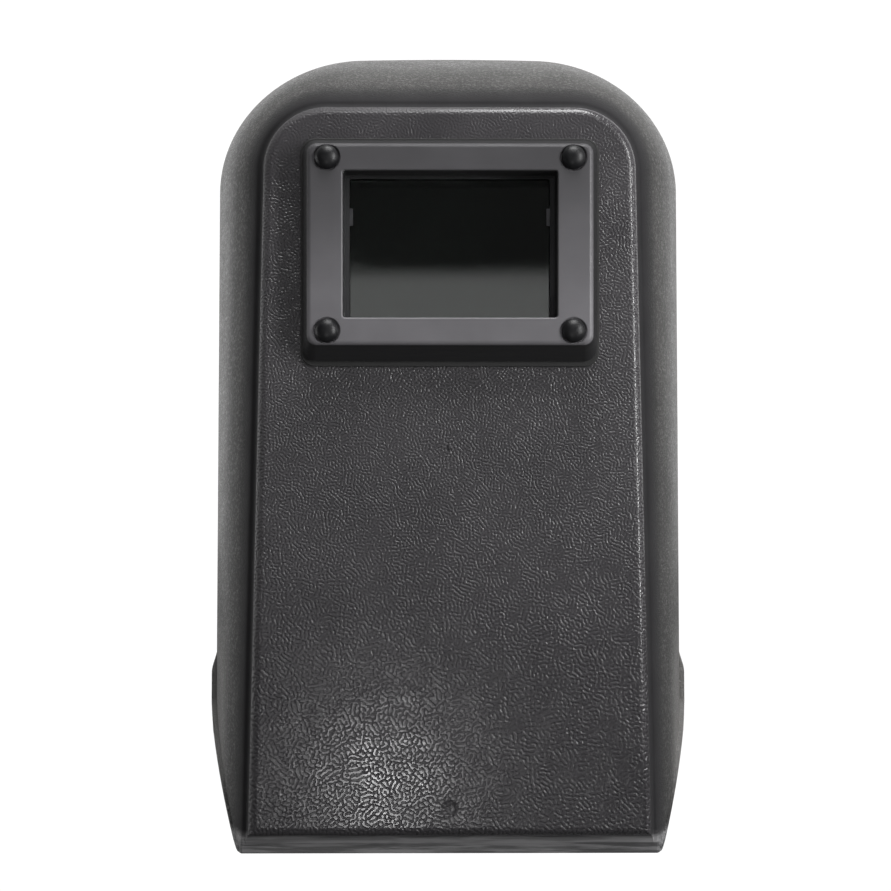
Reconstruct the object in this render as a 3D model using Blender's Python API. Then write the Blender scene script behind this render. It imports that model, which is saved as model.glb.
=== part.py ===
"""Hand-held welding helmet: a moulded face shield with a framed window, a clamped lens pack and a grip.

The shield stands upright. +X is to the right as seen from the front, +Y points back towards the face and
+Z points up. The origin is the centre of the grip. Shape functions below work in depth (behind the front
panel) and height (above the lowest edge); `place` turns those into model coordinates.
"""
import math

import bpy
import bmesh
from mathutils import Matrix, Vector

MM = 0.001
CLEARANCE = 0.3 * MM

# Shield
WALL = 2.4 * MM
RIM_DEPTH = 100.0 * MM
PLATEAU_BOTTOM = 9.9 * MM
PLATEAU_TOP = 346.9 * MM
PLATEAU_HALF_AT_BASE = 93.6 * MM
PLATEAU_TAPER = 0.0233
PLATEAU_CORNER = 29.0 * MM
EDGE_ROUND = 4.0 * MM
STEP_FOOT_DEPTH = 8.0 * MM
STEP_FOOT_SHARE = 0.3
STEP_DEPTH = 10.0 * MM
STEP_SIDE = 5.0 * MM
STEP_TOP = 6.0 * MM
RIM_TOP = 391.6 * MM
RIM_HALF_AT_BASE = 121.2 * MM
RIM_TAPER = 0.00686
RIM_CORNER_ACROSS = 75.7 * MM
RIM_CORNER_UP = 69.5 * MM
RIM_CROWN = 0.5 * MM
WALL_STRAIGHTNESS = 0.65
LIP_BACK_DEPTH = 12.5 * MM
STEP_BOTTOM = 6.7 * MM
TRIM_HEIGHT = 57.0 * MM
FLANGE_WIDTH = 2.6 * MM
FLANGE_THICK = 2.4 * MM
FLANGE_FULL = 72.0 * MM
FLANGE_END = 86.0 * MM
FLANGE_START = 45.0 * MM
FLANGE_AT_FOOT = 0.12
FLANGE_SINK = 0.15
FOOT_SLANT = 0.9
LIP_DROP = 6.0 * MM
LIP_LEAN = 0.4 * MM
LIP_CORNER = 4.5 * MM
LIP_EDGE_LEAN = 33.0
BELOW_FOOT = 8.0 * MM

# Window
WINDOW_HEIGHT = 281.7 * MM
FRAME_HALF_X = 65.3 * MM
FRAME_HALF_Z = 46.0 * MM
FRAME_FRONT = -12.0 * MM
SIGHT_HALF_X = 48.75 * MM
SIGHT_HALF_Z = 33.35 * MM
SPIGOT_WALL = 2.3 * MM
SPIGOT_GAP = 0.4 * MM
FRAME_SKIRT_SIDE = 2.2 * MM
FRAME_SKIRT_TOP = 2.6 * MM
FRAME_SKIRT_BOTTOM = 6.7 * MM
GASKET_MARGIN = 1.2 * MM
RIVET_X = 56.0 * MM
RIVET_Z = 39.35 * MM
RIVET_HEAD_RADIUS = 5.45 * MM
RIVET_HEAD_HEIGHT = 4.2 * MM
RIVET_SHANK_RADIUS = 2.0 * MM
RIVET_RECESS_RADIUS = 5.95 * MM
RIVET_RECESS_DEPTH = 1.0 * MM

# Lens pack: standard 108 x 82 mm plates
GLASS_HALF_X = 54.0 * MM
GLASS_HALF_Z = 41.0 * MM
POCKET_HALF_X = 54.8 * MM
POCKET_HALF_Z = 41.8 * MM
POCKET_WALL = 2.5 * MM
SHELF_HALF_X = 46.75 * MM
SHELF_REAR = 10.4 * MM
POCKET_REAR = 22.6 * MM
COVER_GLASS_THICK = 2.0 * MM
SPACER_THICK = 0.6 * MM
FILTER_THICK = 3.0 * MM
INNER_COVER_THICK = 1.5 * MM
RETAINER_THICK = 1.5 * MM
RETAINER_BUMP = 1.7 * MM
GASKET_THICK = 0.8 * MM

# Bail
BAIL_WIRE_RADIUS = 1.2 * MM
BAIL_AXIS_DEPTH = 24.8 * MM
BAIL_AXIS_BELOW = 37.0 * MM
BAIL_HALF_X = 50.5 * MM
BAIL_RISE = 74.0 * MM
BAIL_END_X = 58.9 * MM
THUMB_LOOP_HALF_X = 13.0 * MM
THUMB_LOOP_RISE = 9.0 * MM

# Handle
GRIP_DEPTH = 50.0 * MM
GRIP_HEIGHT = 106.2 * MM
BAR_RADIUS = 10.0 * MM
BAR_BEND = 14.0 * MM
SLEEVE_RADIUS = 15.0 * MM
SLEEVE_LENGTH = 100.0 * MM
SLEEVE_RIBS = 7
UPPER_SCREW_HEIGHT = 189.4 * MM
LOWER_SCREW_HEIGHT = 23.0 * MM
POST_INSET = 18.4 * MM
FOOT_HALF_X = 12.0 * MM
FOOT_THICK = 5.0 * MM
BOSS_RADIUS = 7.0 * MM
BOSS_DEPTH = 8.2 * MM
SCREW_RADIUS = 1.95 * MM
SCREW_HEAD_RADIUS = 4.0 * MM
SCREW_HEAD_HEIGHT = 2.6 * MM
WASHER_RADIUS = 5.0 * MM
WASHER_THICK = 1.0 * MM
HOLE_RADIUS = 2.3 * MM

PLASTIC = ((0.030, 0.031, 0.034), 0.55, 0.0)
FRAME_PLASTIC = ((0.035, 0.035, 0.037), 0.42, 0.0)
RUBBER = ((0.022, 0.022, 0.023), 0.80, 0.0)
STEEL = ((0.55, 0.56, 0.58), 0.32, 1.0)
CLEAR = ((0.80, 0.84, 0.82), 0.05, 0.0)
DARK_GLASS = ((0.020, 0.045, 0.030), 0.05, 0.0)
FIBRE = ((0.30, 0.20, 0.12), 0.80, 0.0)


def place(x, depth, height):
    """Model coordinates of a point given across, behind the front panel and above the lowest edge."""
    return Vector((x, depth - GRIP_DEPTH, height - GRIP_HEIGHT))


def blend(first, second, amount):
    return first + (second - first) * amount


def clear_scene():
    for obj in list(bpy.data.objects):
        bpy.data.objects.remove(obj, do_unlink=True)


def material(name, look):
    colour, roughness, metallic = look
    made = bpy.data.materials.new(name)
    made.use_nodes = True
    shader = made.node_tree.nodes["Principled BSDF"]
    shader.inputs["Base Color"].default_value = (*colour, 1.0)
    shader.inputs["Roughness"].default_value = roughness
    shader.inputs["Metallic"].default_value = metallic
    made.diffuse_color = (*colour, 1.0)
    return made


def add_object(name, data, look=None):
    obj = bpy.data.objects.new(name, data)
    bpy.context.scene.collection.objects.link(obj)
    if look is not None:
        data.materials.append(material(name, look))
    return obj


def mesh_object(name, bm, look=None, smooth_angle=35.0):
    bmesh.ops.recalc_face_normals(bm, faces=bm.faces)
    mesh = bpy.data.meshes.new(name)
    bm.to_mesh(mesh)
    bm.free()
    mesh.shade_smooth()
    mesh.set_sharp_from_angle(angle=math.radians(smooth_angle))
    return add_object(name, mesh, look)


def cutter(obj):
    obj.hide_render = True
    obj.display_type = "WIRE"
    return obj


def boolean(target, tool, operation="DIFFERENCE"):
    """Cuts, joins or intersects target with tool, and hides the tool."""
    cutter(tool)
    modifier = target.modifiers.new(tool.name, "BOOLEAN")
    modifier.operation = operation
    modifier.solver = "EXACT"
    modifier.object = tool
    return target


def add_ring(bm, points):
    return [bm.verts.new(point) for point in points]


def bridge(bm, first, second):
    count = len(first)
    for i in range(count):
        j = (i + 1) % count
        bm.faces.new((first[i], first[j], second[j], second[i]))


def loft(rings):
    """A closed body through a stack of rings, with a face on each end."""
    bm = bmesh.new()
    made = [add_ring(bm, ring) for ring in rings]
    for first, second in zip(made, made[1:]):
        bridge(bm, first, second)
    bm.faces.new(made[0])
    bm.faces.new(made[-1])
    return bm


def loop_loft(rings):
    """A closed frame: rings run once round its cross-section, and the last joins the first."""
    bm = bmesh.new()
    made = [add_ring(bm, ring) for ring in rings]
    for first, second in zip(made, made[1:] + made[:1]):
        bridge(bm, first, second)
    return bm


def arc(centre_x, centre_z, radius_x, radius_z, start, stop, steps):
    """Points on an elliptical arc between two angles in degrees, both ends included."""
    for i in range(steps + 1):
        angle = math.radians(start + (stop - start) * i / steps)
        yield centre_x + radius_x * math.cos(angle), centre_z + radius_z * math.sin(angle)


def rounded_rectangle(half_x, top, bottom, radius, steps=3):
    """Outline of a rounded rectangle about x = 0, anticlockwise from its right side."""
    points = []
    corners = ((1, top, 0), (-1, top, 90), (-1, bottom, 180), (1, bottom, 270))
    for side, edge, start in corners:
        centre_x = side * (half_x - radius)
        centre_z = edge - radius if edge == top else edge + radius
        points.extend(arc(centre_x, centre_z, radius, radius, start, start + 90, steps))
    return points


def window_ring(depth, half_x, half_z, radius, extra_top=0.0, extra_bottom=0.0):
    """A rounded rectangle about the window's centre, at one depth."""
    outline = rounded_rectangle(half_x, half_z + extra_top, -half_z - extra_bottom, radius)
    return [place(x, depth, WINDOW_HEIGHT + z) for x, z in outline]


def turned(profile, sides=24, axis_point=(0.0, 0.0, 0.0)):
    """A closed body turned about the Y axis through axis_point, from (radius, y) pairs."""
    bm = bmesh.new()
    rings = []
    for radius, y in profile:
        if radius == 0.0:
            rings.append([bm.verts.new((0.0, y, 0.0))])
            continue
        ring = []
        for i in range(sides):
            angle = math.tau * i / sides
            ring.append(bm.verts.new((radius * math.cos(angle), y, radius * math.sin(angle))))
        rings.append(ring)
    for first, second in zip(rings, rings[1:]):
        for i in range(sides):
            j = (i + 1) % sides
            if len(first) == 1:
                bm.faces.new((first[0], second[i], second[j]))
            elif len(second) == 1:
                bm.faces.new((first[i], first[j], second[0]))
            else:
                bm.faces.new((first[i], first[j], second[j], second[i]))
    if len(rings[0]) > 1 and profile[0] != profile[-1]:
        bm.faces.new(rings[0])
        bm.faces.new(rings[-1])
    bmesh.ops.translate(bm, verts=bm.verts, vec=Vector(axis_point))
    return bm


def turned_ring(profile, sides, axis_point):
    """A closed ring turned about the Y axis, from a closed cross-section of (radius, y) pairs."""
    rings = []
    for i in range(sides):
        angle = math.tau * i / sides
        rings.append([
            Vector(axis_point) + Vector((radius * math.cos(angle), y, radius * math.sin(angle)))
            for radius, y in profile
        ])
    return loop_loft(rings)


def block(name, low, high):
    """A plain box between two corners, used as a cutting tool or a joined lug."""
    bm = bmesh.new()
    bmesh.ops.create_cube(bm, size=1.0)
    centre = (Vector(low) + Vector(high)) / 2
    size = Vector(high) - Vector(low)
    bmesh.ops.scale(bm, verts=bm.verts, vec=size)
    bmesh.ops.translate(bm, verts=bm.verts, vec=centre)
    return mesh_object(name, bm)


def drill(name, x, height, radius, front, back, sides=16):
    """A round cutting tool along Y between two depths."""
    bm = turned([(radius, front), (radius, back)], sides, place(x, 0.0, height))
    return mesh_object(name, bm)


# ---------------------------------------------------------------- shield


def plateau_half(height):
    return PLATEAU_HALF_AT_BASE - PLATEAU_TAPER * height


def rim_half(height):
    return RIM_HALF_AT_BASE - RIM_TAPER * height


def flange_share(height):
    """How far the lip turns out: nothing at the foot, 1 where it is full, then easing into the wall."""
    rise = min(max(height / FLANGE_START, 0.0), 1.0)
    fade = min(max((height - FLANGE_FULL) / (FLANGE_END - FLANGE_FULL), 0.0), 1.0)
    eased = fade * fade * (3.0 - 2.0 * fade)
    return blend(FLANGE_AT_FOOT, 1.0, rise) - (1.0 + FLANGE_SINK) * eased


def shield_half(height, flare):
    """Half the shield's width at a height, for a flare as in shield_ring."""
    foot = plateau_half(height) + STEP_SIDE * min(1.0 + flare, 1.0)
    return blend(foot, rim_half(height), max(flare, 0.0))


def shield_ring(depth, flare, inset, bottom, grow=0.0):
    """One arch-shaped section of the shield, closed along its foot.

    flare is -1 at the raised panel's edge, 0 at the foot of its step and 1 at the rim. inset moves the
    outline inwards. grow moves it outwards where the lip turns out.
    """
    step = min(1.0 + flare, 1.0)
    spread = max(flare, 0.0)
    shrink = inset - grow * flange_share(RIM_TOP)
    foot_corner = PLATEAU_CORNER + STEP_SIDE * step
    across = blend(foot_corner, RIM_CORNER_ACROSS, spread) - shrink
    up = blend(foot_corner, RIM_CORNER_UP, spread) - shrink
    top = blend(PLATEAU_TOP + STEP_TOP * step, RIM_TOP - RIM_CROWN, spread) - shrink
    crown = RIM_CROWN * spread
    shoulder = top - up
    if grow:
        side_heights = [bottom, 0.0, FLANGE_START]
        side_heights.extend(blend(FLANGE_FULL, FLANGE_END, i / 4) for i in range(5))
    else:
        side_heights = [blend(bottom, shoulder, i / 3) for i in range(3)]
    right = []
    for height in side_heights:
        right.append((shield_half(height, flare) - inset + grow * flange_share(height), height))
    corner_x = shield_half(shoulder, flare) - shrink - across
    right.extend(arc(corner_x, shoulder, across, up, 0, 90, 10))
    right.append((corner_x / 2, top + crown * 0.75))
    left = [(-x, height) for x, height in reversed(right)]
    outline = right + [(0.0, top + crown)] + left
    return [place(x, depth, height) for x, height in outline]


def wall_depth(share):
    return blend(STEP_DEPTH, RIM_DEPTH, share)


def wall_flare(share):
    """How far the wall has flared out at a share of its depth: quick behind the step, slower at the rim."""
    bulge = 1.0 - (1.0 - share) ** 2
    return WALL_STRAIGHTNESS * share + (1.0 - WALL_STRAIGHTNESS) * bulge


def shield_body(name, inset, grow=0.0):
    """The shield's outer form, or its hollow when inset is the wall's thickness."""
    sunk = 4.0 * grow
    below = -BELOW_FOOT - sunk
    lip_share = LIP_LEAN / (RIM_DEPTH - STEP_DEPTH)
    panel_foot = PLATEAU_BOTTOM + inset * FOOT_SLANT - sunk
    step_foot = panel_foot - (PLATEAU_BOTTOM - STEP_BOTTOM)
    rings = []
    for angle in (0, 30, 60, 90):
        turn = math.radians(angle)
        edge = EDGE_ROUND * (1.0 - math.sin(turn))
        depth = EDGE_ROUND * (1.0 - math.cos(turn)) + inset
        rings.append(shield_ring(depth, -1.0, edge + inset, panel_foot + edge, grow))
    part_way = blend(panel_foot, step_foot, STEP_FOOT_SHARE)
    rings.append(shield_ring(STEP_FOOT_DEPTH + inset, STEP_FOOT_SHARE - 1.0, inset, part_way, grow))
    rings.append(shield_ring(STEP_DEPTH + inset, 0.0, inset, step_foot, grow))
    lip_depth = wall_depth(lip_share) + inset
    rings.append(shield_ring(lip_depth, wall_flare(lip_share), inset, -LIP_DROP - sunk, grow))
    for share in (0.06, 0.14, 0.25, 0.4, 0.55, 0.7, 0.85, 1.0):
        rings.append(shield_ring(wall_depth(share), wall_flare(share), inset, below, grow))
    past_rim = 0.06
    flare = 1.0 + past_rim * WALL_STRAIGHTNESS
    rings.append(shield_ring(wall_depth(1.0 + past_rim), flare, inset, below, grow))
    return mesh_object(name, loft(rings))


def side_profile(name, outline, half_x=0.2):
    """A tool with one outline in depth and height, running right across the shield."""
    rings = [[place(x, depth, height) for depth, height in outline] for x in (-half_x, half_x)]
    return mesh_object(name, loft(rings))


def trim_tool():
    """Everything behind the rim plane and below the sloping lower edges."""
    far = 0.2
    outline = [
        (-0.05, 0.0),
        (LIP_BACK_DEPTH, 0.0),
        (RIM_DEPTH, TRIM_HEIGHT),
        (RIM_DEPTH, RIM_TOP + 0.05),
        (far, RIM_TOP + 0.05),
        (far, -0.05),
        (-0.05, -0.05),
    ]
    return side_profile("trim_tool", outline)


def flange_form():
    """The lip that turns out along the sloping lower edges and a little way up the rim."""
    slope = math.atan2(TRIM_HEIGHT, RIM_DEPTH - LIP_BACK_DEPTH)
    rise = FLANGE_THICK / math.cos(slope)
    front = RIM_DEPTH - FLANGE_THICK
    knee = TRIM_HEIGHT + rise - FLANGE_THICK * math.tan(slope)
    past = 4.0 * MM
    outline = [
        (LIP_BACK_DEPTH, rise),
        (front, knee),
        (front, FLANGE_END),
        (RIM_DEPTH + past, FLANGE_END),
        (RIM_DEPTH + past, TRIM_HEIGHT - past),
        (LIP_BACK_DEPTH, -past),
    ]
    flange = shield_body("flange_form", 0.0, grow=FLANGE_WIDTH)
    return boolean(flange, side_profile("flange_band", outline), "INTERSECT")


def lip_corner_tool(side):
    """What lies outside the rounded corner between the lower lip and its sloping side."""
    half = shield_half(0.0, 0.03) + FLANGE_WIDTH * FLANGE_AT_FOOT
    start = half - LIP_CORNER * math.tan(math.radians((90.0 - LIP_EDGE_LEAN) / 2))
    past = 3.0 * MM
    outline = list(arc(start, LIP_CORNER, LIP_CORNER, LIP_CORNER, -LIP_EDGE_LEAN, -90, 4))
    outer, upper = outline[0]
    outline.extend([(start, -past), (outer + past, -past), (outer + past, upper)])
    depths = (0.0, LIP_BACK_DEPTH * 2.0)
    rings = [[place(side * x, depth, height) for x, height in outline] for depth in depths]
    return mesh_object("lip_corner_tool", loft(rings))


def shell():
    body = shield_body("shell", 0.0)
    body.data.materials.append(material("shell", PLASTIC))
    boolean(body, flange_form(), "UNION")
    boolean(body, shield_body("hollow_form", WALL))
    boolean(body, trim_tool())
    for side in (-1, 1):
        boolean(body, lip_corner_tool(side))
    for label, height in (("upper", UPPER_SCREW_HEIGHT), ("lower", LOWER_SCREW_HEIGHT)):
        boss = drill("boss_" + label, 0.0, height, BOSS_RADIUS, WALL / 2, BOSS_DEPTH, 20)
        boolean(body, boss, "UNION")
        pilot = drill("pilot_" + label, 0.0, height, HOLE_RADIUS, WALL + 1.2 * MM, BOSS_DEPTH + WALL)
        boolean(body, pilot)
    half_x = SIGHT_HALF_X + SPIGOT_WALL + SPIGOT_GAP
    half_z = SIGHT_HALF_Z + SPIGOT_WALL + SPIGOT_GAP
    opening = [window_ring(depth, half_x, half_z, 3.0 * MM) for depth in (-5.0 * MM, 8.0 * MM)]
    boolean(body, mesh_object("window_opening", loft(opening)))
    for x, z in rivet_places():
        boolean(body, drill("rivet_hole", x, WINDOW_HEIGHT + z, HOLE_RADIUS, -5.0 * MM, 8.0 * MM))
    nub_profile = [(0.0, -0.5 * MM), (0.8 * MM, -0.3 * MM), (1.1 * MM, 0.5 * MM), (0.0, 0.6 * MM)]
    nub = turned(nub_profile, 12, place(0.0, 0.0, UPPER_SCREW_HEIGHT))
    boolean(body, mesh_object("moulding_nub", nub), "UNION")
    return body


def rivet_places():
    return [(x, z) for z in (RIVET_Z, -RIVET_Z) for x in (-RIVET_X, RIVET_X)]


# ---------------------------------------------------------------- window frame


def window_frame():
    """The raised bezel with its sloping skirt and a spigot that passes through the shield."""
    back = -(1.0 * MM + 2 * CLEARANCE)
    round_off = 2.4 * MM
    spigot_x = SIGHT_HALF_X + SPIGOT_WALL
    spigot_z = SIGHT_HALF_Z + SPIGOT_WALL
    spigot_end = WALL - 0.1 * MM
    skirt_top = FRAME_SKIRT_TOP
    skirt_bottom = FRAME_SKIRT_BOTTOM
    rings = [
        window_ring(spigot_end, SIGHT_HALF_X, SIGHT_HALF_Z, 1.2 * MM),
        window_ring(FRAME_FRONT + 0.6 * MM, SIGHT_HALF_X, SIGHT_HALF_Z, 1.2 * MM),
        window_ring(FRAME_FRONT, SIGHT_HALF_X + 0.6 * MM, SIGHT_HALF_Z + 0.6 * MM, 1.6 * MM),
        window_ring(FRAME_FRONT, FRAME_HALF_X - round_off, FRAME_HALF_Z - round_off, 2.6 * MM),
        window_ring(FRAME_FRONT + 0.7 * MM, FRAME_HALF_X - 0.7 * MM, FRAME_HALF_Z - 0.7 * MM, 4.0 * MM),
        window_ring(FRAME_FRONT + round_off, FRAME_HALF_X, FRAME_HALF_Z, 4.6 * MM),
        window_ring(back - 0.8 * MM, FRAME_HALF_X + FRAME_SKIRT_SIDE, FRAME_HALF_Z, 5.2 * MM,
                    skirt_top, skirt_bottom),
        window_ring(back, FRAME_HALF_X + FRAME_SKIRT_SIDE, FRAME_HALF_Z, 5.2 * MM, skirt_top, skirt_bottom),
        window_ring(back, spigot_x, spigot_z, 2.4 * MM),
        window_ring(spigot_end, spigot_x, spigot_z, 2.4 * MM),
    ]
    frame = mesh_object("window_frame", loop_loft(rings), FRAME_PLASTIC)
    for x, z in rivet_places():
        height = WINDOW_HEIGHT + z
        start = FRAME_FRONT - 3.0 * MM
        boolean(frame, drill("frame_hole", x, height, HOLE_RADIUS, start, 3.0 * MM))
        seat = FRAME_FRONT + RIVET_RECESS_DEPTH
        boolean(frame, drill("frame_recess", x, height, RIVET_RECESS_RADIUS, start, seat, 20))
    return frame


def frame_gasket():
    front = -(1.0 * MM + CLEARANCE)
    back = -CLEARANCE
    inner_x = SIGHT_HALF_X + SPIGOT_WALL + SPIGOT_GAP
    inner_z = SIGHT_HALF_Z + SPIGOT_WALL + SPIGOT_GAP
    outer_x = FRAME_HALF_X + FRAME_SKIRT_SIDE + GASKET_MARGIN
    extra_top = FRAME_SKIRT_TOP + GASKET_MARGIN
    extra_bottom = FRAME_SKIRT_BOTTOM + 2.4 * MM
    rings = [
        window_ring(front, inner_x, inner_z, 2.8 * MM),
        window_ring(front, outer_x, FRAME_HALF_Z, 5.6 * MM, extra_top, extra_bottom),
        window_ring(back, outer_x, FRAME_HALF_Z, 5.6 * MM, extra_top, extra_bottom),
        window_ring(back, inner_x, inner_z, 2.8 * MM),
    ]
    gasket = mesh_object("frame_gasket", loop_loft(rings), RUBBER)
    for x, z in rivet_places():
        boolean(gasket, drill("gasket_hole", x, WINDOW_HEIGHT + z, HOLE_RADIUS, -5.0 * MM, 3.0 * MM))
    return gasket


def corner_names():
    return ("upper_left", "upper_right", "lower_left", "lower_right")


def rivets_and_washers():
    """Dome-headed push rivets through frame, shield and lens holder, each with a lock washer behind."""
    seat = FRAME_FRONT + RIVET_RECESS_DEPTH - CLEARANCE
    tail = SHELF_REAR - 2.4 * MM
    profile = []
    rim = 0.5 * MM
    for angle in (0, 18, 36, 54, 72, 90):
        turn = math.radians(angle)
        radius = RIVET_HEAD_RADIUS * math.sin(turn)
        profile.append((radius, seat - rim - (RIVET_HEAD_HEIGHT - rim) * math.cos(turn)))
    profile.append((RIVET_HEAD_RADIUS, seat))
    profile.append((RIVET_SHANK_RADIUS, seat))
    profile.append((RIVET_SHANK_RADIUS, tail - 0.8 * MM))
    profile.append((RIVET_SHANK_RADIUS - 0.6 * MM, tail))
    profile.append((0.0, tail))
    washer_front = WALL + 2.0 * MM + 2 * CLEARANCE
    washer = [
        (HOLE_RADIUS, washer_front + 0.7 * MM),
        (4.0 * MM, washer_front),
        (5.0 * MM, washer_front),
        (5.0 * MM, washer_front + 0.6 * MM),
        (4.0 * MM, washer_front + 0.6 * MM),
        (HOLE_RADIUS, washer_front + 1.3 * MM),
    ]
    for label, (x, z) in zip(corner_names(), rivet_places()):
        centre = place(x, 0.0, WINDOW_HEIGHT + z)
        mesh_object("rivet_" + label, turned(profile, 16, centre), FRAME_PLASTIC)
        mesh_object("lock_washer_" + label, turned_ring(washer, 16, centre), STEEL)


# ---------------------------------------------------------------- lens holder and lens pack


def lens_holder():
    """Hat-section holder behind the shield: flange, tunnel, shelf and the pocket that locates the plates."""
    flange_front = WALL + CLEARANCE
    flange_back = flange_front + 2.0 * MM
    shelf_front = SHELF_REAR - 1.7 * MM
    tunnel_x = SIGHT_HALF_X + 2.0 * MM
    tunnel_z = SIGHT_HALF_Z + 2.0 * MM
    wall_x = POCKET_HALF_X + POCKET_WALL
    wall_z = POCKET_HALF_Z + POCKET_WALL
    rings = [
        window_ring(flange_front, SIGHT_HALF_X, SIGHT_HALF_Z, 1.2 * MM),
        window_ring(flange_front, FRAME_HALF_X, FRAME_HALF_Z, 4.0 * MM),
        window_ring(flange_back, FRAME_HALF_X, FRAME_HALF_Z, 4.0 * MM),
        window_ring(flange_back, tunnel_x, tunnel_z, 2.4 * MM),
        window_ring(shelf_front, tunnel_x, tunnel_z, 2.4 * MM),
        window_ring(shelf_front, wall_x, wall_z, 3.0 * MM),
        window_ring(POCKET_REAR, wall_x, wall_z, 3.0 * MM),
        window_ring(POCKET_REAR, POCKET_HALF_X, POCKET_HALF_Z, 1.0 * MM),
        window_ring(SHELF_REAR, POCKET_HALF_X, POCKET_HALF_Z, 1.0 * MM),
        window_ring(SHELF_REAR, SHELF_HALF_X, SIGHT_HALF_Z - 0.4 * MM, 1.0 * MM),
        window_ring(shelf_front, SHELF_HALF_X, SIGHT_HALF_Z - 0.4 * MM, 1.0 * MM),
        window_ring(shelf_front, SIGHT_HALF_X, SIGHT_HALF_Z, 1.2 * MM),
    ]
    holder = mesh_object("lens_holder", loop_loft(rings), PLASTIC)
    for side in (-1, 1):
        boolean(holder, bail_ear(side), "UNION")
    for side in (-1, 1):
        hole = across_drill("bail_hole", side * POCKET_HALF_X, side * wall_x, BAIL_WIRE_RADIUS + CLEARANCE)
        boolean(holder, hole)
    behind_flange = flange_back + 2.5 * MM
    for x, z in rivet_places():
        boolean(holder, drill("holder_hole", x, WINDOW_HEIGHT + z, HOLE_RADIUS, 0.0, behind_flange))
    return holder


def bail_ear(side):
    """A rounded lug on the pocket's side wall that carries one end of the bail."""
    height = WINDOW_HEIGHT - BAIL_AXIS_BELOW
    radius = 3.6 * MM
    outline = [(POCKET_REAR - 4.0 * MM, height - radius)]
    outline.extend(arc(BAIL_AXIS_DEPTH, height, radius, radius, -90, 90, 10))
    outline.append((POCKET_REAR - 4.0 * MM, height + radius))
    inner = side * (POCKET_HALF_X + 0.2 * MM)
    outer = side * (POCKET_HALF_X + POCKET_WALL - 0.2 * MM)
    rings = [[place(x, depth, z) for depth, z in outline] for x in (inner, outer)]
    return mesh_object("bail_ear", loft(rings))


def across_drill(name, start, stop, radius):
    """A round cutting tool along X, on the bail's hinge axis."""
    height = WINDOW_HEIGHT - BAIL_AXIS_BELOW
    reach = 3.0 * MM
    section = list(arc(BAIL_AXIS_DEPTH, height, radius, radius, 0, 337.5, 15))
    ends = (start - math.copysign(reach, start), stop + math.copysign(reach, stop))
    rings = [[place(x, depth, z) for depth, z in section] for x in ends]
    return mesh_object(name, loft(rings))


def plate(name, front, thick, half_x, half_z, look):
    rings = [window_ring(depth, half_x, half_z, 1.0 * MM) for depth in (front, front + thick)]
    return mesh_object(name, loft(rings), look)


def ring_plate(name, front, thick, outer, inner, look):
    """A flat rectangular ring; outer and inner are half sizes across and up."""
    back = front + thick
    rings = [
        window_ring(front, *inner, 1.0 * MM),
        window_ring(front, *outer, 1.0 * MM),
        window_ring(back, *outer, 1.0 * MM),
        window_ring(back, *inner, 1.0 * MM),
    ]
    return mesh_object(name, loop_loft(rings), look)


def lens_pack():
    """The plates from front to back, each a running gap behind the last."""
    full = (GLASS_HALF_X, GLASS_HALF_Z)
    trimmed = (GLASS_HALF_X - 0.2 * MM, GLASS_HALF_Z - 0.2 * MM)
    front = SHELF_REAR + CLEARANCE
    ring_plate("lens_gasket", front, GASKET_THICK, trimmed, (50.8 * MM, 37.8 * MM), RUBBER)
    front += GASKET_THICK + CLEARANCE
    plate("cover_glass", front, COVER_GLASS_THICK, *full, CLEAR)
    front += COVER_GLASS_THICK + CLEARANCE
    spacer_inner = (SIGHT_HALF_X + 1.0 * MM, SIGHT_HALF_Z + 1.0 * MM)
    ring_plate("lens_spacer", front, SPACER_THICK, trimmed, spacer_inner, FIBRE)
    front += SPACER_THICK + CLEARANCE
    plate("filter_glass", front, FILTER_THICK, *full, DARK_GLASS)
    front += FILTER_THICK + CLEARANCE
    plate("inner_cover_plate", front, INNER_COVER_THICK, *full, CLEAR)
    front += INNER_COVER_THICK + CLEARANCE
    inner = (SIGHT_HALF_X - 1.2 * MM, SIGHT_HALF_Z - 0.8 * MM)
    retainer = ring_plate("retaining_frame", front, RETAINER_THICK, trimmed, inner, STEEL)
    back = front + RETAINER_THICK
    for side in (-1, 1):
        low = place(side * (BAIL_HALF_X - 2.2 * MM), back - 0.6 * MM, WINDOW_HEIGHT - 12 * MM)
        high = place(side * (BAIL_HALF_X + 2.2 * MM), back + RETAINER_BUMP, WINDOW_HEIGHT + 12 * MM)
        low.x, high.x = sorted((low.x, high.x))
        boolean(retainer, block("retainer_bump", low, high), "UNION")
    return retainer


def leaf_spring(name, side):
    """A bowed strip between shelf and cover glass, with a small tab that shows in the window."""
    steps = 16
    half_length = 28.0 * MM
    thick = 0.4 * MM
    seat = SHELF_REAR + CLEARANCE
    bow = 0.35 * MM
    tab_centre = 15.3 * MM
    tab_half = 4.2 * MM
    heights = [half_length * (2.0 * i / steps - 1.0) for i in range(steps + 1)]
    heights.extend((tab_centre - tab_half, tab_centre - tab_half + 0.3 * MM))
    heights.extend((tab_centre + tab_half - 0.3 * MM, tab_centre + tab_half))
    heights.sort()
    rings = []
    for z in heights:
        on_tab = abs(z - tab_centre) < tab_half - 0.1 * MM
        inner = side * (45.2 * MM if on_tab else 47.4 * MM)
        outer = side * 50.2 * MM
        y = seat + bow * (1.0 - (z / half_length) ** 2)
        rings.append([
            place(inner, y, WINDOW_HEIGHT + z),
            place(outer, y, WINDOW_HEIGHT + z),
            place(outer, y + thick, WINDOW_HEIGHT + z),
            place(inner, y + thick, WINDOW_HEIGHT + z),
        ])
    return mesh_object(name, loft(rings), STEEL)


# ---------------------------------------------------------------- bail


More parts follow.
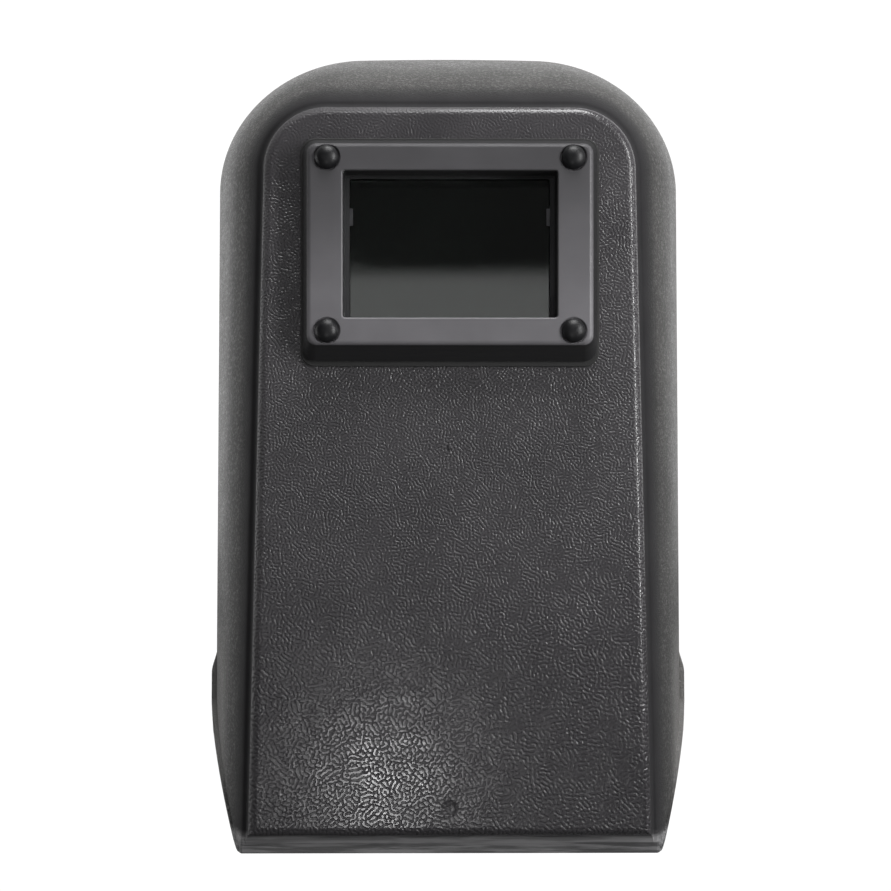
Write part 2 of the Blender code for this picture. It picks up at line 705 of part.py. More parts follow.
def rounded_route(corners, radius, steps=3):
    """Points along straight runs whose inner corners are rounded with arcs."""
    route = [Vector(corners[0])]
    for before, corner, after in zip(corners, corners[1:], corners[2:]):
        corner = Vector(corner)
        towards = (Vector(before) - corner).normalized()
        away = (Vector(after) - corner).normalized()
        half_angle = towards.angle(away) / 2
        reach = radius / math.tan(half_angle)
        centre = corner + (towards + away).normalized() * radius / math.sin(half_angle)
        first = corner + towards * reach - centre
        last = corner + away * reach - centre
        for i in range(steps + 1):
            route.append(centre + first.slerp(last, i / steps).normalized() * radius)
    route.append(Vector(corners[-1]))
    return route


def tube(name, points, radius, look, resolution=3):
    """A bar of round section along a route, with closed ends."""
    curve = bpy.data.curves.new(name, "CURVE")
    curve.dimensions = "3D"
    curve.bevel_depth = radius
    curve.bevel_resolution = resolution
    curve.use_fill_caps = True
    spline = curve.splines.new("POLY")
    spline.points.add(len(points) - 1)
    for target, point in zip(spline.points, points):
        target.co = (*point, 1.0)
    return add_object(name, curve, look)


def bail():
    """A sprung wire loop hinged in the holder's ears, with a thumb loop on its cross-bar."""
    half = BAIL_HALF_X
    loop = THUMB_LOOP_HALF_X
    top = BAIL_RISE
    corners = [
        (-BAIL_END_X, 0, 0), (-half, 0, 0), (-half, 0, top), (-loop, 0, top),
        (-loop + 3 * MM, 0, top + THUMB_LOOP_RISE), (loop - 3 * MM, 0, top + THUMB_LOOP_RISE),
        (loop, 0, top), (half, 0, top), (half, 0, 0), (BAIL_END_X, 0, 0),
    ]
    wire = tube("bail", rounded_route(corners, 2.6 * MM), BAIL_WIRE_RADIUS, STEEL, 2)
    wire.location = place(0.0, BAIL_AXIS_DEPTH, WINDOW_HEIGHT - BAIL_AXIS_BELOW)
    return wire


# ---------------------------------------------------------------- handle


def foot_front():
    return BOSS_DEPTH + CLEARANCE


def handle_core():
    """A bent round bar whose two feet stand on the shield's bosses."""
    upper_post = UPPER_SCREW_HEIGHT - POST_INSET
    lower_post = LOWER_SCREW_HEIGHT + POST_INSET
    start = foot_front() + 1.0 * MM
    corners = [
        place(0.0, start, upper_post),
        place(0.0, GRIP_DEPTH, upper_post),
        place(0.0, GRIP_DEPTH, lower_post),
        place(0.0, start, lower_post),
    ]
    route = rounded_route(corners, BAR_BEND, 6)
    core = mesh_object("handle_core", bent_bar(route, BAR_RADIUS, 16), PLASTIC)
    feet = (("upper", UPPER_SCREW_HEIGHT, upper_post), ("lower", LOWER_SCREW_HEIGHT, lower_post))
    back = foot_front() + FOOT_THICK
    for label, screw, post in feet:
        away = 1 if screw > post else -1
        ends = sorted((screw + away * 10.0 * MM, post - away * 11.5 * MM))
        outline = rounded_rectangle(FOOT_HALF_X, ends[1], ends[0], 6.0 * MM, 6)
        rings = [[place(x, depth, z) for x, z in outline] for depth in (foot_front(), back)]
        boolean(core, mesh_object("foot_" + label, loft(rings)), "UNION")
        hole = drill("foot_hole_" + label, 0.0, screw, HOLE_RADIUS, foot_front() - 2.0 * MM, back + 2.0 * MM)
        boolean(core, hole)
    return core


def bent_bar(route, radius, sides):
    """A round bar along a route that stays in the shield's middle plane."""
    across = Vector((1.0, 0.0, 0.0))
    rings = []
    for i, point in enumerate(route):
        along = (route[min(i + 1, len(route) - 1)] - route[max(i - 1, 0)]).normalized()
        normal = along.cross(across)
        angles = [math.tau * k / sides for k in range(sides)]
        rings.append([point + radius * (math.cos(a) * across + math.sin(a) * normal) for a in angles])
    return loft(rings)


def grip_sleeve():
    """A ribbed rubber sleeve on the straight of the bar."""
    bore = BAR_RADIUS + CLEARANCE
    half = SLEEVE_LENGTH / 2
    groove = 1.2 * MM
    pitch = SLEEVE_LENGTH / (SLEEVE_RIBS + 1)
    profile = [(bore, -half), (SLEEVE_RADIUS - 1.5 * MM, -half), (SLEEVE_RADIUS, -half + 1.5 * MM)]
    for i in range(SLEEVE_RIBS):
        middle = -half + pitch * (i + 1)
        profile.append((SLEEVE_RADIUS, middle - 1.6 * MM))
        profile.append((SLEEVE_RADIUS - groove, middle - 0.8 * MM))
        profile.append((SLEEVE_RADIUS - groove, middle + 0.8 * MM))
        profile.append((SLEEVE_RADIUS, middle + 1.6 * MM))
    profile.extend([(SLEEVE_RADIUS, half - 1.5 * MM), (SLEEVE_RADIUS - 1.5 * MM, half), (bore, half)])
    bm = turned_ring(profile, 20, (0.0, 0.0, 0.0))
    bmesh.ops.rotate(bm, verts=bm.verts, matrix=Matrix.Rotation(math.radians(90), 3, "X"))
    return mesh_object("grip_sleeve", bm, RUBBER)


def handle_fasteners():
    washer_front = foot_front() + FOOT_THICK + CLEARANCE
    head_front = washer_front + WASHER_THICK + CLEARANCE
    tip = WALL + 1.8 * MM
    washer = [
        (HOLE_RADIUS, washer_front),
        (WASHER_RADIUS, washer_front),
        (WASHER_RADIUS, washer_front + WASHER_THICK),
        (HOLE_RADIUS, washer_front + WASHER_THICK),
    ]
    screw = [
        (0.0, tip),
        (SCREW_RADIUS - 0.8 * MM, tip + 0.6 * MM),
        (SCREW_RADIUS, tip + 2.2 * MM),
        (SCREW_RADIUS, head_front),
        (SCREW_HEAD_RADIUS, head_front),
        (SCREW_HEAD_RADIUS, head_front + SCREW_HEAD_HEIGHT * 0.45),
        (SCREW_HEAD_RADIUS * 0.75, head_front + SCREW_HEAD_HEIGHT * 0.85),
        (0.0, head_front + SCREW_HEAD_HEIGHT),
    ]
    for label, height in (("upper", UPPER_SCREW_HEIGHT), ("lower", LOWER_SCREW_HEIGHT)):
        centre = place(0.0, 0.0, height)
        mesh_object("handle_washer_" + label, turned_ring(washer, 16, centre), STEEL)
        made = mesh_object("handle_screw_" + label, turned(screw, 16, centre), STEEL)
        for index, (half_x, half_z) in enumerate(((2.4, 0.5), (0.5, 2.4))):
            low = place(-half_x * MM, head_front + 1.0 * MM, height - half_z * MM)
            high = place(half_x * MM, head_front + 4.0 * MM, height + half_z * MM)
            boolean(made, block("drive_slot_%s_%d" % (label, index), low, high))


def main():
    clear_scene()
    shell()
    window_frame()
    frame_gasket()
    rivets_and_washers()
    lens_holder()
    lens_pack()
    leaf_spring("leaf_spring_left", -1)
    leaf_spring("leaf_spring_right", 1)
    bail()
    handle_core()
    grip_sleeve()
    handle_fasteners()


main()
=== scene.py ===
"""Looks of the hand-held welding helmet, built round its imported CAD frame.

+X is to the right as seen from the front, +Y points back to the face and +Z up. The origin is the centre of
the grip. Shape functions work in depth (behind the front panel) and height (above the lowest edge).
"""

import math

import bpy
import bmesh
from mathutils import Euler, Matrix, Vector


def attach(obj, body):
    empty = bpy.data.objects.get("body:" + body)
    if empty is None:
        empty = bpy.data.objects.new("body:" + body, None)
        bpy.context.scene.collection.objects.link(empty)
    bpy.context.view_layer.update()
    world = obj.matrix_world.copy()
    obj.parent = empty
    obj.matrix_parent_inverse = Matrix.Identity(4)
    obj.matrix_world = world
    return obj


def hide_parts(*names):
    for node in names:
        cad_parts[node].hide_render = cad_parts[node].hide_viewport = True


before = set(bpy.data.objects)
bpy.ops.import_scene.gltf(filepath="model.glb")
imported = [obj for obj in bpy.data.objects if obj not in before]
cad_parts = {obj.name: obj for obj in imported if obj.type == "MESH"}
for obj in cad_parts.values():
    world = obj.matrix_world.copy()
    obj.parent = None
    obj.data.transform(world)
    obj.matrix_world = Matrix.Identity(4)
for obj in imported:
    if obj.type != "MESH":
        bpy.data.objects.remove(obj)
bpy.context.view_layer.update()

MM = 0.001

# ------------------------------------------------------------------ sizes, in step with the CAD frame

GRIP_DEPTH = 50.0 * MM
GRIP_HEIGHT = 106.2 * MM
WALL = 2.4 * MM
RIM_DEPTH = 100.0 * MM
PLATEAU_BOTTOM = 9.9 * MM
PLATEAU_TOP = 346.9 * MM
PLATEAU_HALF_AT_BASE = 93.6 * MM
PLATEAU_TAPER = 0.0233
PLATEAU_CORNER = 29.0 * MM
EDGE_ROUND = 4.6 * MM  # a little softer than the frame's, to catch the light
STEP_FOOT_DEPTH = 8.0 * MM
STEP_FOOT_SHARE = 0.3
STEP_DEPTH = 10.0 * MM
STEP_SIDE = 5.0 * MM
STEP_TOP = 6.0 * MM
RIM_TOP = 391.6 * MM
RIM_HALF_AT_BASE = 121.2 * MM
RIM_TAPER = 0.00686
RIM_CORNER_ACROSS = 75.7 * MM
RIM_CORNER_UP = 69.5 * MM
RIM_CROWN = 0.5 * MM
WALL_STRAIGHTNESS = 0.65
LIP_BACK_DEPTH = 12.5 * MM
STEP_BOTTOM = 6.7 * MM
TRIM_HEIGHT = 57.0 * MM
FLANGE_WIDTH = 2.6 * MM
FLANGE_THICK = 2.4 * MM
FLANGE_FULL = 72.0 * MM
FLANGE_END = 86.0 * MM
FLANGE_START = 45.0 * MM
FLANGE_AT_FOOT = 0.12
FLANGE_SINK = 0.15
FOOT_SLANT = 0.9
LIP_DROP = 6.0 * MM
LIP_CORNER = 4.5 * MM
LIP_EDGE_LEAN = 33.0
LIP_FLARE = 0.03
BELOW_FOOT = 8.0 * MM
WINDOW_HEIGHT = 281.7 * MM
FRAME_HALF_X = 65.3 * MM
FRAME_HALF_Z = 46.0 * MM
FRAME_FRONT = -12.0 * MM
FRAME_CORNER = 4.6 * MM
SIGHT_HALF_X = 48.75 * MM
SIGHT_HALF_Z = 33.35 * MM
SPIGOT_WALL = 2.3 * MM
SPIGOT_GAP = 0.4 * MM
OPENING_HALF_X = SIGHT_HALF_X + SPIGOT_WALL + SPIGOT_GAP
OPENING_HALF_Z = SIGHT_HALF_Z + SPIGOT_WALL + SPIGOT_GAP
FRAME_SKIRT_SIDE = 2.2 * MM
FRAME_SKIRT_TOP = 2.6 * MM
FRAME_SKIRT_BOTTOM = 6.7 * MM
GASKET_MARGIN = 1.2 * MM
RIVET_X = 56.0 * MM
RIVET_Z = 39.35 * MM
RIVET_HEAD_RADIUS = 5.45 * MM
RIVET_HEAD_HEIGHT = 4.2 * MM
RIVET_SHANK_RADIUS = 2.0 * MM
RIVET_RECESS_RADIUS = 5.95 * MM
RIVET_RECESS_DEPTH = 1.0 * MM
SHELF_REAR = 10.4 * MM
BAIL_WIRE_RADIUS = 1.2 * MM
BAIL_WIRE_BEND = 2.6 * MM
BAIL_AXIS_DEPTH = 24.8 * MM
BAIL_AXIS_BELOW = 37.0 * MM
BAIL_HALF_X = 50.5 * MM
BAIL_RISE = 74.0 * MM
BAIL_END_X = 58.9 * MM
THUMB_LOOP_HALF_X = 13.0 * MM
THUMB_LOOP_RISE = 9.0 * MM
BAR_RADIUS = 10.0 * MM
BAR_BEND = 14.0 * MM
SLEEVE_RADIUS = 15.0 * MM
SLEEVE_LENGTH = 100.0 * MM
SLEEVE_RIBS = 7
UPPER_SCREW_HEIGHT = 189.4 * MM
LOWER_SCREW_HEIGHT = 23.0 * MM
POST_INSET = 18.4 * MM
FOOT_FRONT = 8.5 * MM
FOOT_THICK = 5.0 * MM
FOOT_HALF_X = 12.0 * MM
FOOT_CORNER = 6.0 * MM
BOSS_RADIUS = 7.0 * MM
BOSS_DEPTH = 8.2 * MM
HOLE_RADIUS = 2.3 * MM
WELL_PAST = 0.2  # further out than any part of the shield

# ------------------------------------------------------------------ where the shell's surface changes

# Depths: the rounded edge, the step behind it and the wall.
EDGE_END = 4.5 * MM
STEP_START = 6.5 * MM
PANEL_GRAIN_END = 7.0 * MM
WALL_LOOK_START = 8.0 * MM
WALL_LOOK_FULL = 24.0 * MM
# Heights: the lip at the foot and the panel above it.
LIP_TOP = 8.0 * MM
LIP_LOOK_END = 10.0 * MM
PANEL_LOOK_START = 9.0 * MM
PANEL_LOOK_FULL = 11.5 * MM

# ------------------------------------------------------------------ stage and camera

FLOOR_BELOW = 0.14
FLOOR_HALF = 4.0
WHITE_TO_CAMERA = 1.05
STUDIO_CENTRE = (0.0, -0.05, 0.09)
CAMERA_LENS = 65.8
CAMERA_X = -6.9 * MM
CAMERA_AHEAD = 750.0 * MM
CAMERA_HEIGHT = 190.3 * MM
CAMERA_TURN = -0.37


def place(x, depth, height):
    """A point given by its depth behind the front panel and its height above the lowest edge."""
    return Vector((x, depth - GRIP_DEPTH, height - GRIP_HEIGHT))


def blend(first, second, amount):
    """A value part of the way from first to second."""
    return first + (second - first) * amount


# ------------------------------------------------------------------ material nodes


class Nodes:
    """A short way to write a Principled material's node tree."""

    def __init__(self, name, colour, roughness, metallic=0.0, specular=0.5):
        self.material = bpy.data.materials.new(name)
        self.material.use_nodes = True
        self.tree = self.material.node_tree
        self.shader = self.tree.nodes["Principled BSDF"]
        self.shader.inputs["Base Color"].default_value = (*colour, 1.0)
        self.shader.inputs["Roughness"].default_value = roughness
        self.shader.inputs["Metallic"].default_value = metallic
        self.shader.inputs["Specular IOR Level"].default_value = specular
        self.place = self.add("ShaderNodeTexCoord").outputs["Object"]

    def add(self, kind, **settings):
        node = self.tree.nodes.new(kind)
        for key, value in settings.items():
            if key in node.inputs:
                self.feed(node.inputs[key], value)
            else:
                setattr(node, key, value)
        return node

    def feed(self, socket, value):
        if isinstance(value, bpy.types.NodeSocket):
            self.tree.links.new(value, socket)
        else:
            socket.default_value = value

    def scaled(self, x, y, z):
        node = self.add("ShaderNodeMapping")
        self.feed(node.inputs["Vector"], self.place)
        node.inputs["Scale"].default_value = (x, y, z)
        return node.outputs["Vector"]

    def noise(self, scale, detail=2.0, roughness=0.5, vector=None, distortion=0.0):
        node = self.add("ShaderNodeTexNoise", Scale=scale, Detail=detail, Roughness=roughness)
        node.inputs["Distortion"].default_value = distortion
        self.feed(node.inputs["Vector"], vector if vector is not None else self.place)
        return node.outputs["Fac"]

    def worms(self, scale, frequency):
        """A labyrinth of even bands across the front: noise of one wavelength, in every direction."""
        flat = self.add("ShaderNodeCombineXYZ")
        self.feed(flat.inputs["X"], self.axis("X"))
        self.feed(flat.inputs["Y"], self.axis("Z"))
        node = self.add("ShaderNodeTexGabor", gabor_type="2D", Anisotropy=0.0)
        self.feed(node.inputs["Scale"], scale)
        self.feed(node.inputs["Frequency"], frequency)
        self.feed(node.inputs["Vector"], flat.outputs[0])
        return node.outputs["Value"]

    def math(self, operation, first, second=0.0):
        node = self.add("ShaderNodeMath", operation=operation)
        for socket, value in zip(node.inputs, (first, second)):
            self.feed(socket, value)
        return node.outputs[0]

    def times(self, first, *others):
        for other in others:
            first = self.math("MULTIPLY", first, other)
        return first

    def plus(self, first, *others):
        for other in others:
            first = self.math("ADD", first, other)
        return first

    def fall(self, value, low, high):
        """1 below low, easing to 0 at high."""
        return self.span(value, low, high, 1.0, 0.0)

    def span(self, value, low, high, to_low=0.0, to_high=1.0, smooth=True):
        node = self.add("ShaderNodeMapRange")
        node.interpolation_type = "SMOOTHSTEP" if smooth else "LINEAR"
        for socket, number in zip(node.inputs, (value, low, high, to_low, to_high)):
            self.feed(socket, number)
        return node.outputs[0]

    def tint(self, amount, low, high):
        node = self.add("ShaderNodeMix", data_type="RGBA")
        self.feed(node.inputs[0], amount)
        for socket, shade in ((node.inputs[6], low), (node.inputs[7], high)):
            self.feed(socket, shade if isinstance(shade, bpy.types.NodeSocket) else (*shade, 1.0))
        return node.outputs[2]

    def depth(self):
        """Depth behind the front panel."""
        return self.math("ADD", self.axis("Y"), GRIP_DEPTH)

    def height(self):
        """Height above the lowest edge."""
        return self.math("ADD", self.axis("Z"), GRIP_HEIGHT)

    def axis(self, name):
        node = self.add("ShaderNodeSeparateXYZ")
        self.feed(node.inputs[0], self.place)
        return node.outputs[name]

    def bump(self, height, distance, strength=1.0, after=None):
        node = self.add("ShaderNodeBump")
        node.inputs["Strength"].default_value = strength
        node.inputs["Distance"].default_value = distance
        self.feed(node.inputs["Height"], height)
        if after is not None:
            self.feed(node.inputs["Normal"], after)
        return node.outputs["Normal"]

    def finish(self, colour=None, roughness=None, normal=None):
        for name, value in (("Base Color", colour), ("Roughness", roughness), ("Normal", normal)):
            if value is not None:
                self.feed(self.shader.inputs[name], value)
        return self.material


def shell_worms(n, height):
    """The panel's worm-like ridges: coarser near the foot, and worn smoother above the window."""
    fineness = n.span(height, 60.0 * MM, 190.0 * MM, to_low=2.1, to_high=2.8)
    ridges = n.span(n.worms(scale=230.0, frequency=fineness), 0.37, 0.56)
    uneven = n.span(n.noise(scale=55.0), 0.35, 0.6, to_low=0.7, to_high=1.0)
    worn_smooth = n.span(height, 285.0 * MM, 335.0 * MM, to_low=1.0, to_high=0.35)
    return n.times(ridges, uneven, worn_smooth)


def shell_normal(n, panel_grain, on_wall):
    """Bumps: a fine tooth everywhere, worms on the panel and fine bands on the walls."""
    bands_in_noise = 24.0
    smooth_noise = n.noise(scale=480.0, detail=0.0, roughness=0.4, distortion=0.4)
    bands = n.math("SINE", n.times(smooth_noise, bands_in_noise))
    wall_grain = n.times(n.span(bands, -0.7, 0.9), on_wall, 1.6)
    tooth = n.bump(n.noise(scale=2400.0), distance=0.03 * MM, strength=0.5)
    return n.bump(n.plus(panel_grain, wall_grain), distance=0.22 * MM, after=tooth)


def lip_streaks_and_painted_light(n, height):
    """How pale the lower lip is: long rubbed streaks, with its overall paleness painted light and a painted
    highlight along its upper edge.
    """
    streaks = n.noise(scale=260.0, detail=3.0, roughness=0.6, vector=n.scaled(0.12, 1.0, 2.0))
    streaks_and_painted_light = n.span(streaks, 0.38, 0.62, to_low=0.20, to_high=0.75)
    # Painted highlight: a pale line along the lip's upper edge.
    highlight_line_start = n.span(height, 4.6 * MM, 5.6 * MM)
    highlight_line_end = n.span(height, 7.4 * MM, 8.2 * MM, to_low=0.4, to_high=0.0)
    return n.plus(streaks_and_painted_light, n.times(highlight_line_start, highlight_line_end))


def shell_colour(n, depth, height, panel_grain, specks, on_wall, above_lip):
    """Patchy black with painted light: paler towards the rim, the low side edges, the top and the ridges;
    painted shade keeps the step dark.
    """
    # Painted light: the walls are painted paler from the step out to the rim, where they catch the light at a
    # glancing angle.
    rim_painted_light = n.span(depth, 14.0 * MM, RIM_DEPTH, to_low=0.0, to_high=0.26, smooth=False)
    patches = n.noise(scale=22.0, detail=3.0, roughness=0.55)
    patchy = n.span(patches, 0.3, 0.7, to_low=0.28, to_high=0.40)
    # Painted light: the panel is painted paler towards the top, where the light falls from above.
    painted_light_upwards = n.span(height, 30.0 * MM, 260.0 * MM, to_low=0.45, to_high=1.0, smooth=False)
    across = n.math("ABSOLUTE", n.axis("X"))
    # Painted light: the lower side edges near the rim are painted paler, as where they catch the light.
    near_side = n.span(across, 106.0 * MM, 118.0 * MM)
    low_side_painted_light = n.times(near_side, n.span(height, 70.0 * MM, 110.0 * MM, to_low=1.1, to_high=0.0))
    # Painted highlight and shade: the worm ridges' tops are painted paler, their valleys darker.
    ridge_painted_highlight = n.times(panel_grain, 0.14)
    shade = n.plus(rim_painted_light, n.times(patchy, painted_light_upwards), ridge_painted_highlight, specks, low_side_painted_light)
    # Painted shade: the step behind the panel's edge is painted nearly black.
    step_painted_shade = n.times(n.span(depth, EDGE_END, STEP_START), n.fall(depth, 11.0 * MM, 30.0 * MM), above_lip)
    shade = n.times(shade, n.math("SUBTRACT", 1.0, n.times(step_painted_shade, 0.95)))
    panel_colour = n.tint(shade, (0.0082, 0.0076, 0.0090), (0.106, 0.100, 0.107))
    wall_colour = n.tint(shade, (0.0080, 0.0079, 0.0077), (0.140, 0.137, 0.133))
    # The lip's pale colour is painted light laid over its streaks.
    lip_colour = n.tint(lip_streaks_and_painted_light(n, height), (0.020, 0.020, 0.021), (0.200, 0.198, 0.202))
    on_lip = n.fall(height, LIP_TOP, LIP_LOOK_END)
    return n.tint(on_lip, n.tint(on_wall, panel_colour, wall_colour), lip_colour)


def shell_roughness(n, depth, panel_grain, specks, above_lip):
    """Glossy ridges, a polished edge on the right, a softer one on the left, and a dull step and walls."""
    base = 0.36
    wear = n.noise(scale=60.0, detail=4.0, roughness=0.6)
    worn = n.span(wear, 0.3, 0.7, to_low=-0.04, to_high=0.05, smooth=False)
    sharper_at_rim = n.span(depth, 10.0 * MM, 75.0 * MM, to_low=1.0, to_high=0.1)
    dull = n.times(n.span(depth, EDGE_END, STEP_START), sharper_at_rim, above_lip, 0.52)
    on_edge = n.times(n.span(depth, 0.1 * MM, 0.6 * MM), n.fall(depth, EDGE_END, STEP_START))
    edge_polish = n.span(n.axis("X"), -60.0 * MM, 60.0 * MM, to_low=-0.34, to_high=0.17)
    polished = n.plus(n.times(panel_grain, 0.17), n.times(on_edge, edge_polish), n.times(specks, 0.3))
    return n.math("SUBTRACT", n.plus(dull, worn, base), polished)


def shell_plastic():
    """Black moulded plastic: glossy worm-like grain on the panel, a finer and fainter one on the walls."""
    n = Nodes("shell_plastic", (0.018, 0.018, 0.020), 0.5)
    depth = n.depth()
    height = n.height()
    on_panel = n.fall(depth, EDGE_END, PANEL_GRAIN_END)
    on_wall = n.span(depth, WALL_LOOK_START, WALL_LOOK_FULL)
    above_lip = n.span(height, PANEL_LOOK_START, PANEL_LOOK_FULL)
    panel_grain = n.times(shell_worms(n, height), on_panel, above_lip)
    flecks = n.noise(scale=700.0, detail=2.0, roughness=0.6, vector=n.scaled(1.0, 0.4, 1.0))
    specks = n.times(n.span(flecks, 0.45, 0.70, to_low=-0.10, to_high=0.26), on_wall)
    return n.finish(
        shell_colour(n, depth, height, panel_grain, specks, on_wall, above_lip),
        shell_roughness(n, depth, panel_grain, specks, above_lip),
        shell_normal(n, panel_grain, on_wall),
    )


def frame_plastic():
    """Smooth black moulding with faint flow streaks: a grey face painted paler towards the bottom as painted
    light, above a skirt painted dark as painted shade.
    """
    n = Nodes("frame_plastic", (0.036, 0.036, 0.038), 0.42)
    behind_face = n.math("ADD", n.depth(), -FRAME_FRONT)
    above_centre = n.math("ADD", n.height(), -WINDOW_HEIGHT)
    # Painted shade: off the face, the skirt takes the darkest colour.
    on_face = n.fall(behind_face, 0.8 * MM, 2.2 * MM)
    # Painted light: the face is painted paler towards its bottom, where it catches light from low in front.
    face_painted_light = n.times(n.span(above_centre, -36.0 * MM, 40.0 * MM, to_low=0.95, to_high=0.40), on_face)
    cloud = n.noise(scale=35.0, detail=3.0)
    mottle = n.span(cloud, 0.3, 0.7, to_low=0.88, to_high=1.12, smooth=False)
    colour = n.tint(n.times(face_painted_light, mottle), (0.0055, 0.0053, 0.0062), (0.140, 0.136, 0.145))
    streaks = n.noise(scale=60.0, detail=4.0, roughness=0.6, vector=n.scaled(1.0, 6.0, 9.0))
    bevel = n.times(n.span(behind_face, 0.1 * MM, 0.5 * MM), 0.3)
    roughness = n.plus(n.span(streaks, 0.3, 0.7, to_low=0.34, to_high=0.48, smooth=False), bevel)
    scuff = n.bump(n.noise(scale=1400.0, detail=3.0), distance=0.015 * MM, strength=0.6)
    return n.finish(colour, roughness, n.bump(streaks, distance=0.06 * MM, strength=0.6, after=scuff))


def gloss_dome():
    """Smooth black plastic of the rivets' heads."""
    n = Nodes("rivet_plastic", (0.007, 0.007, 0.008), 0.40, specular=0.35)
    mark = n.noise(scale=500.0, detail=3.0)
    return n.finish(
        n.tint(mark, (0.004, 0.004, 0.005), (0.009, 0.009, 0.010)),
        n.span(mark, 0.3, 0.7, to_low=0.36, to_high=0.48, smooth=False),
        n.bump(mark, distance=0.02 * MM, strength=0.5),
    )


def satin_plastic():
    """Dark satin plastic of the lens holder and the handle's bar."""
    n = Nodes("satin_plastic", (0.028, 0.028, 0.030), 0.5)
    mark = n.noise(scale=900.0, detail=3.0)
    cloud = n.noise(scale=40.0, detail=3.0)
    return n.finish(
        n.tint(cloud, (0.024, 0.024, 0.026), (0.036, 0.036, 0.038)),
        n.span(cloud, 0.3, 0.7, to_low=0.42, to_high=0.56, smooth=False),
        n.bump(mark, distance=0.03 * MM, strength=0.6),
    )


def rubber(name, shade):
    """Matt rubber with fine pores and a little dust."""
    n = Nodes(name, (shade, shade, shade), 0.75, specular=0.35)
    dust = n.noise(scale=70.0, detail=4.0, roughness=0.6)
    pores = n.noise(scale=1500.0)
    return n.finish(
        n.tint(dust, (shade * 0.8,) * 3, (shade * 1.5,) * 3),
        n.span(dust, 0.3, 0.7, to_low=0.66, to_high=0.84, smooth=False),
        n.bump(pores, distance=0.04 * MM, strength=0.7),
    )


def steel(name, colour, roughness, stretch):
    """Metal with fine drawing or brushing lines along one axis."""
    n = Nodes(name, colour, roughness, metallic=1.0)
    lines = n.noise(scale=500.0, detail=3.0, roughness=0.6, vector=n.scaled(*stretch))
    stain = n.noise(scale=90.0, detail=3.0, roughness=0.6)
    dull = tuple(c * 0.72 for c in colour)
    return n.finish(
        n.tint(n.span(stain, 0.35, 0.7), colour, dull),
        n.span(lines, 0.3, 0.7, to_low=roughness * 0.8, to_high=roughness * 1.25, smooth=False),
        n.bump(lines, distance=0.01 * MM, strength=0.6),
    )


def fibre():
    """Flecked brown fibre board."""
    n = Nodes("fibre_ring", (0.24, 0.16, 0.10), 0.85)
    flecks = n.noise(scale=900.0, detail=4.0, roughness=0.7)
    return n.finish(
        n.tint(flecks, (0.18, 0.12, 0.07), (0.32, 0.23, 0.15)),
        n.span(flecks, 0.3, 0.7, to_low=0.8, to_high=0.95),
        n.bump(flecks, distance=0.05 * MM),
    )


def clear_plate(name, colour, roughness):
    """A clear plate with faint smears."""
    n = Nodes(name, colour, roughness)
    n.shader.inputs["Transmission Weight"].default_value = 1.0
    n.shader.inputs["IOR"].default_value = 1.5
    smear = n.noise(scale=45.0, detail=4.0, roughness=0.6, vector=n.scaled(1.0, 1.0, 2.2))
    return n.finish(roughness=n.span(smear, 0.35, 0.75, to_low=roughness, to_high=roughness + 0.03))


def filter_plate():
    """Filter glass, so dark that only its surface shows."""
    n = Nodes("filter_glass", (0.004, 0.009, 0.006), 0.06)
    smear = n.noise(scale=45.0, detail=4.0, roughness=0.6, vector=n.scaled(1.0, 1.0, 2.2))
    cloud = n.noise(scale=12.0)
    return n.finish(
        n.tint(cloud, (0.002, 0.004, 0.003), (0.004, 0.007, 0.005)),
        n.span(smear, 0.35, 0.75, to_low=0.03, to_high=0.06),
    )


LOOKS = {
    "shell": shell_plastic(),
    "frame": frame_plastic(),
    "dome": gloss_dome(),
    "satin": satin_plastic(),
    "rubber": rubber("gasket_rubber", 0.022),
    "grip": rubber("grip_rubber", 0.020),
    "zinc": steel("zinc_steel", (0.56, 0.57, 0.60), 0.32, (1.0, 1.0, 8.0)),
    "spring": steel("spring_steel", (0.17, 0.17, 0.18), 0.38, (8.0, 1.0, 1.0)),
    "fibre": fibre(),
    "glass": clear_plate("clear_glass", (0.93, 0.96, 0.94), 0.01),
    "inner": clear_plate("clear_plastic", (0.95, 0.96, 0.96), 0.06),
    "filter": filter_plate(),
}

# ------------------------------------------------------------------ mesh helpers


def add_piece(name, data, look, body, replaced, smooth_angle=40.0):
    """Puts a piece on its body, with its look and the CAD nodes that it stands in for."""
    piece = bpy.data.objects.new(name, data)
    bpy.context.scene.collection.objects.link(piece)
    data.materials.append(LOOKS[look])
    data.shade_smooth()
    data.set_sharp_from_angle(angle=math.radians(smooth_angle))
    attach(piece, body)
    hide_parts(*replaced)
    return piece


def mesh_from(name, bm):
    """A mesh with outward faces; the bmesh is used up."""
    bmesh.ops.recalc_face_normals(bm, faces=bm.faces)
    mesh = bpy.data.meshes.new(name)
    bm.to_mesh(mesh)
    bm.free()
    return mesh


def bridge(bm, first, second):
    """A band of quads between two closed rings."""
    count = len(first)
    for i in range(count):
        j = (i + 1) % count
        bm.faces.new((first[i], first[j], second[j], second[i]))


def loft(rings):
    """A closed body through rings, with a flat face at each end."""
    bm = bmesh.new()
    made = [[bm.verts.new(point) for point in ring] for ring in rings]
    for first, second in zip(made, made[1:]):
        bridge(bm, first, second)
    bm.faces.new(made[0])
    bm.faces.new(made[-1])
    return bm


def loop_loft(rings):
    """A closed ring-shaped body: the last section joins the first."""
    bm = bmesh.new()
    made = [[bm.verts.new(point) for point in ring] for ring in rings]
    for first, second in zip(made, made[1:] + made[:1]):
        bridge(bm, first, second)
    return bm


def arc(centre_x, centre_z, radius_x, radius_z, start, stop, steps):
    """Points of an arc, with its angles in degrees."""
    for i in range(steps + 1):
        angle = math.radians(start + (stop - start) * i / steps)
        yield centre_x + radius_x * math.cos(angle), centre_z + radius_z * math.sin(angle)


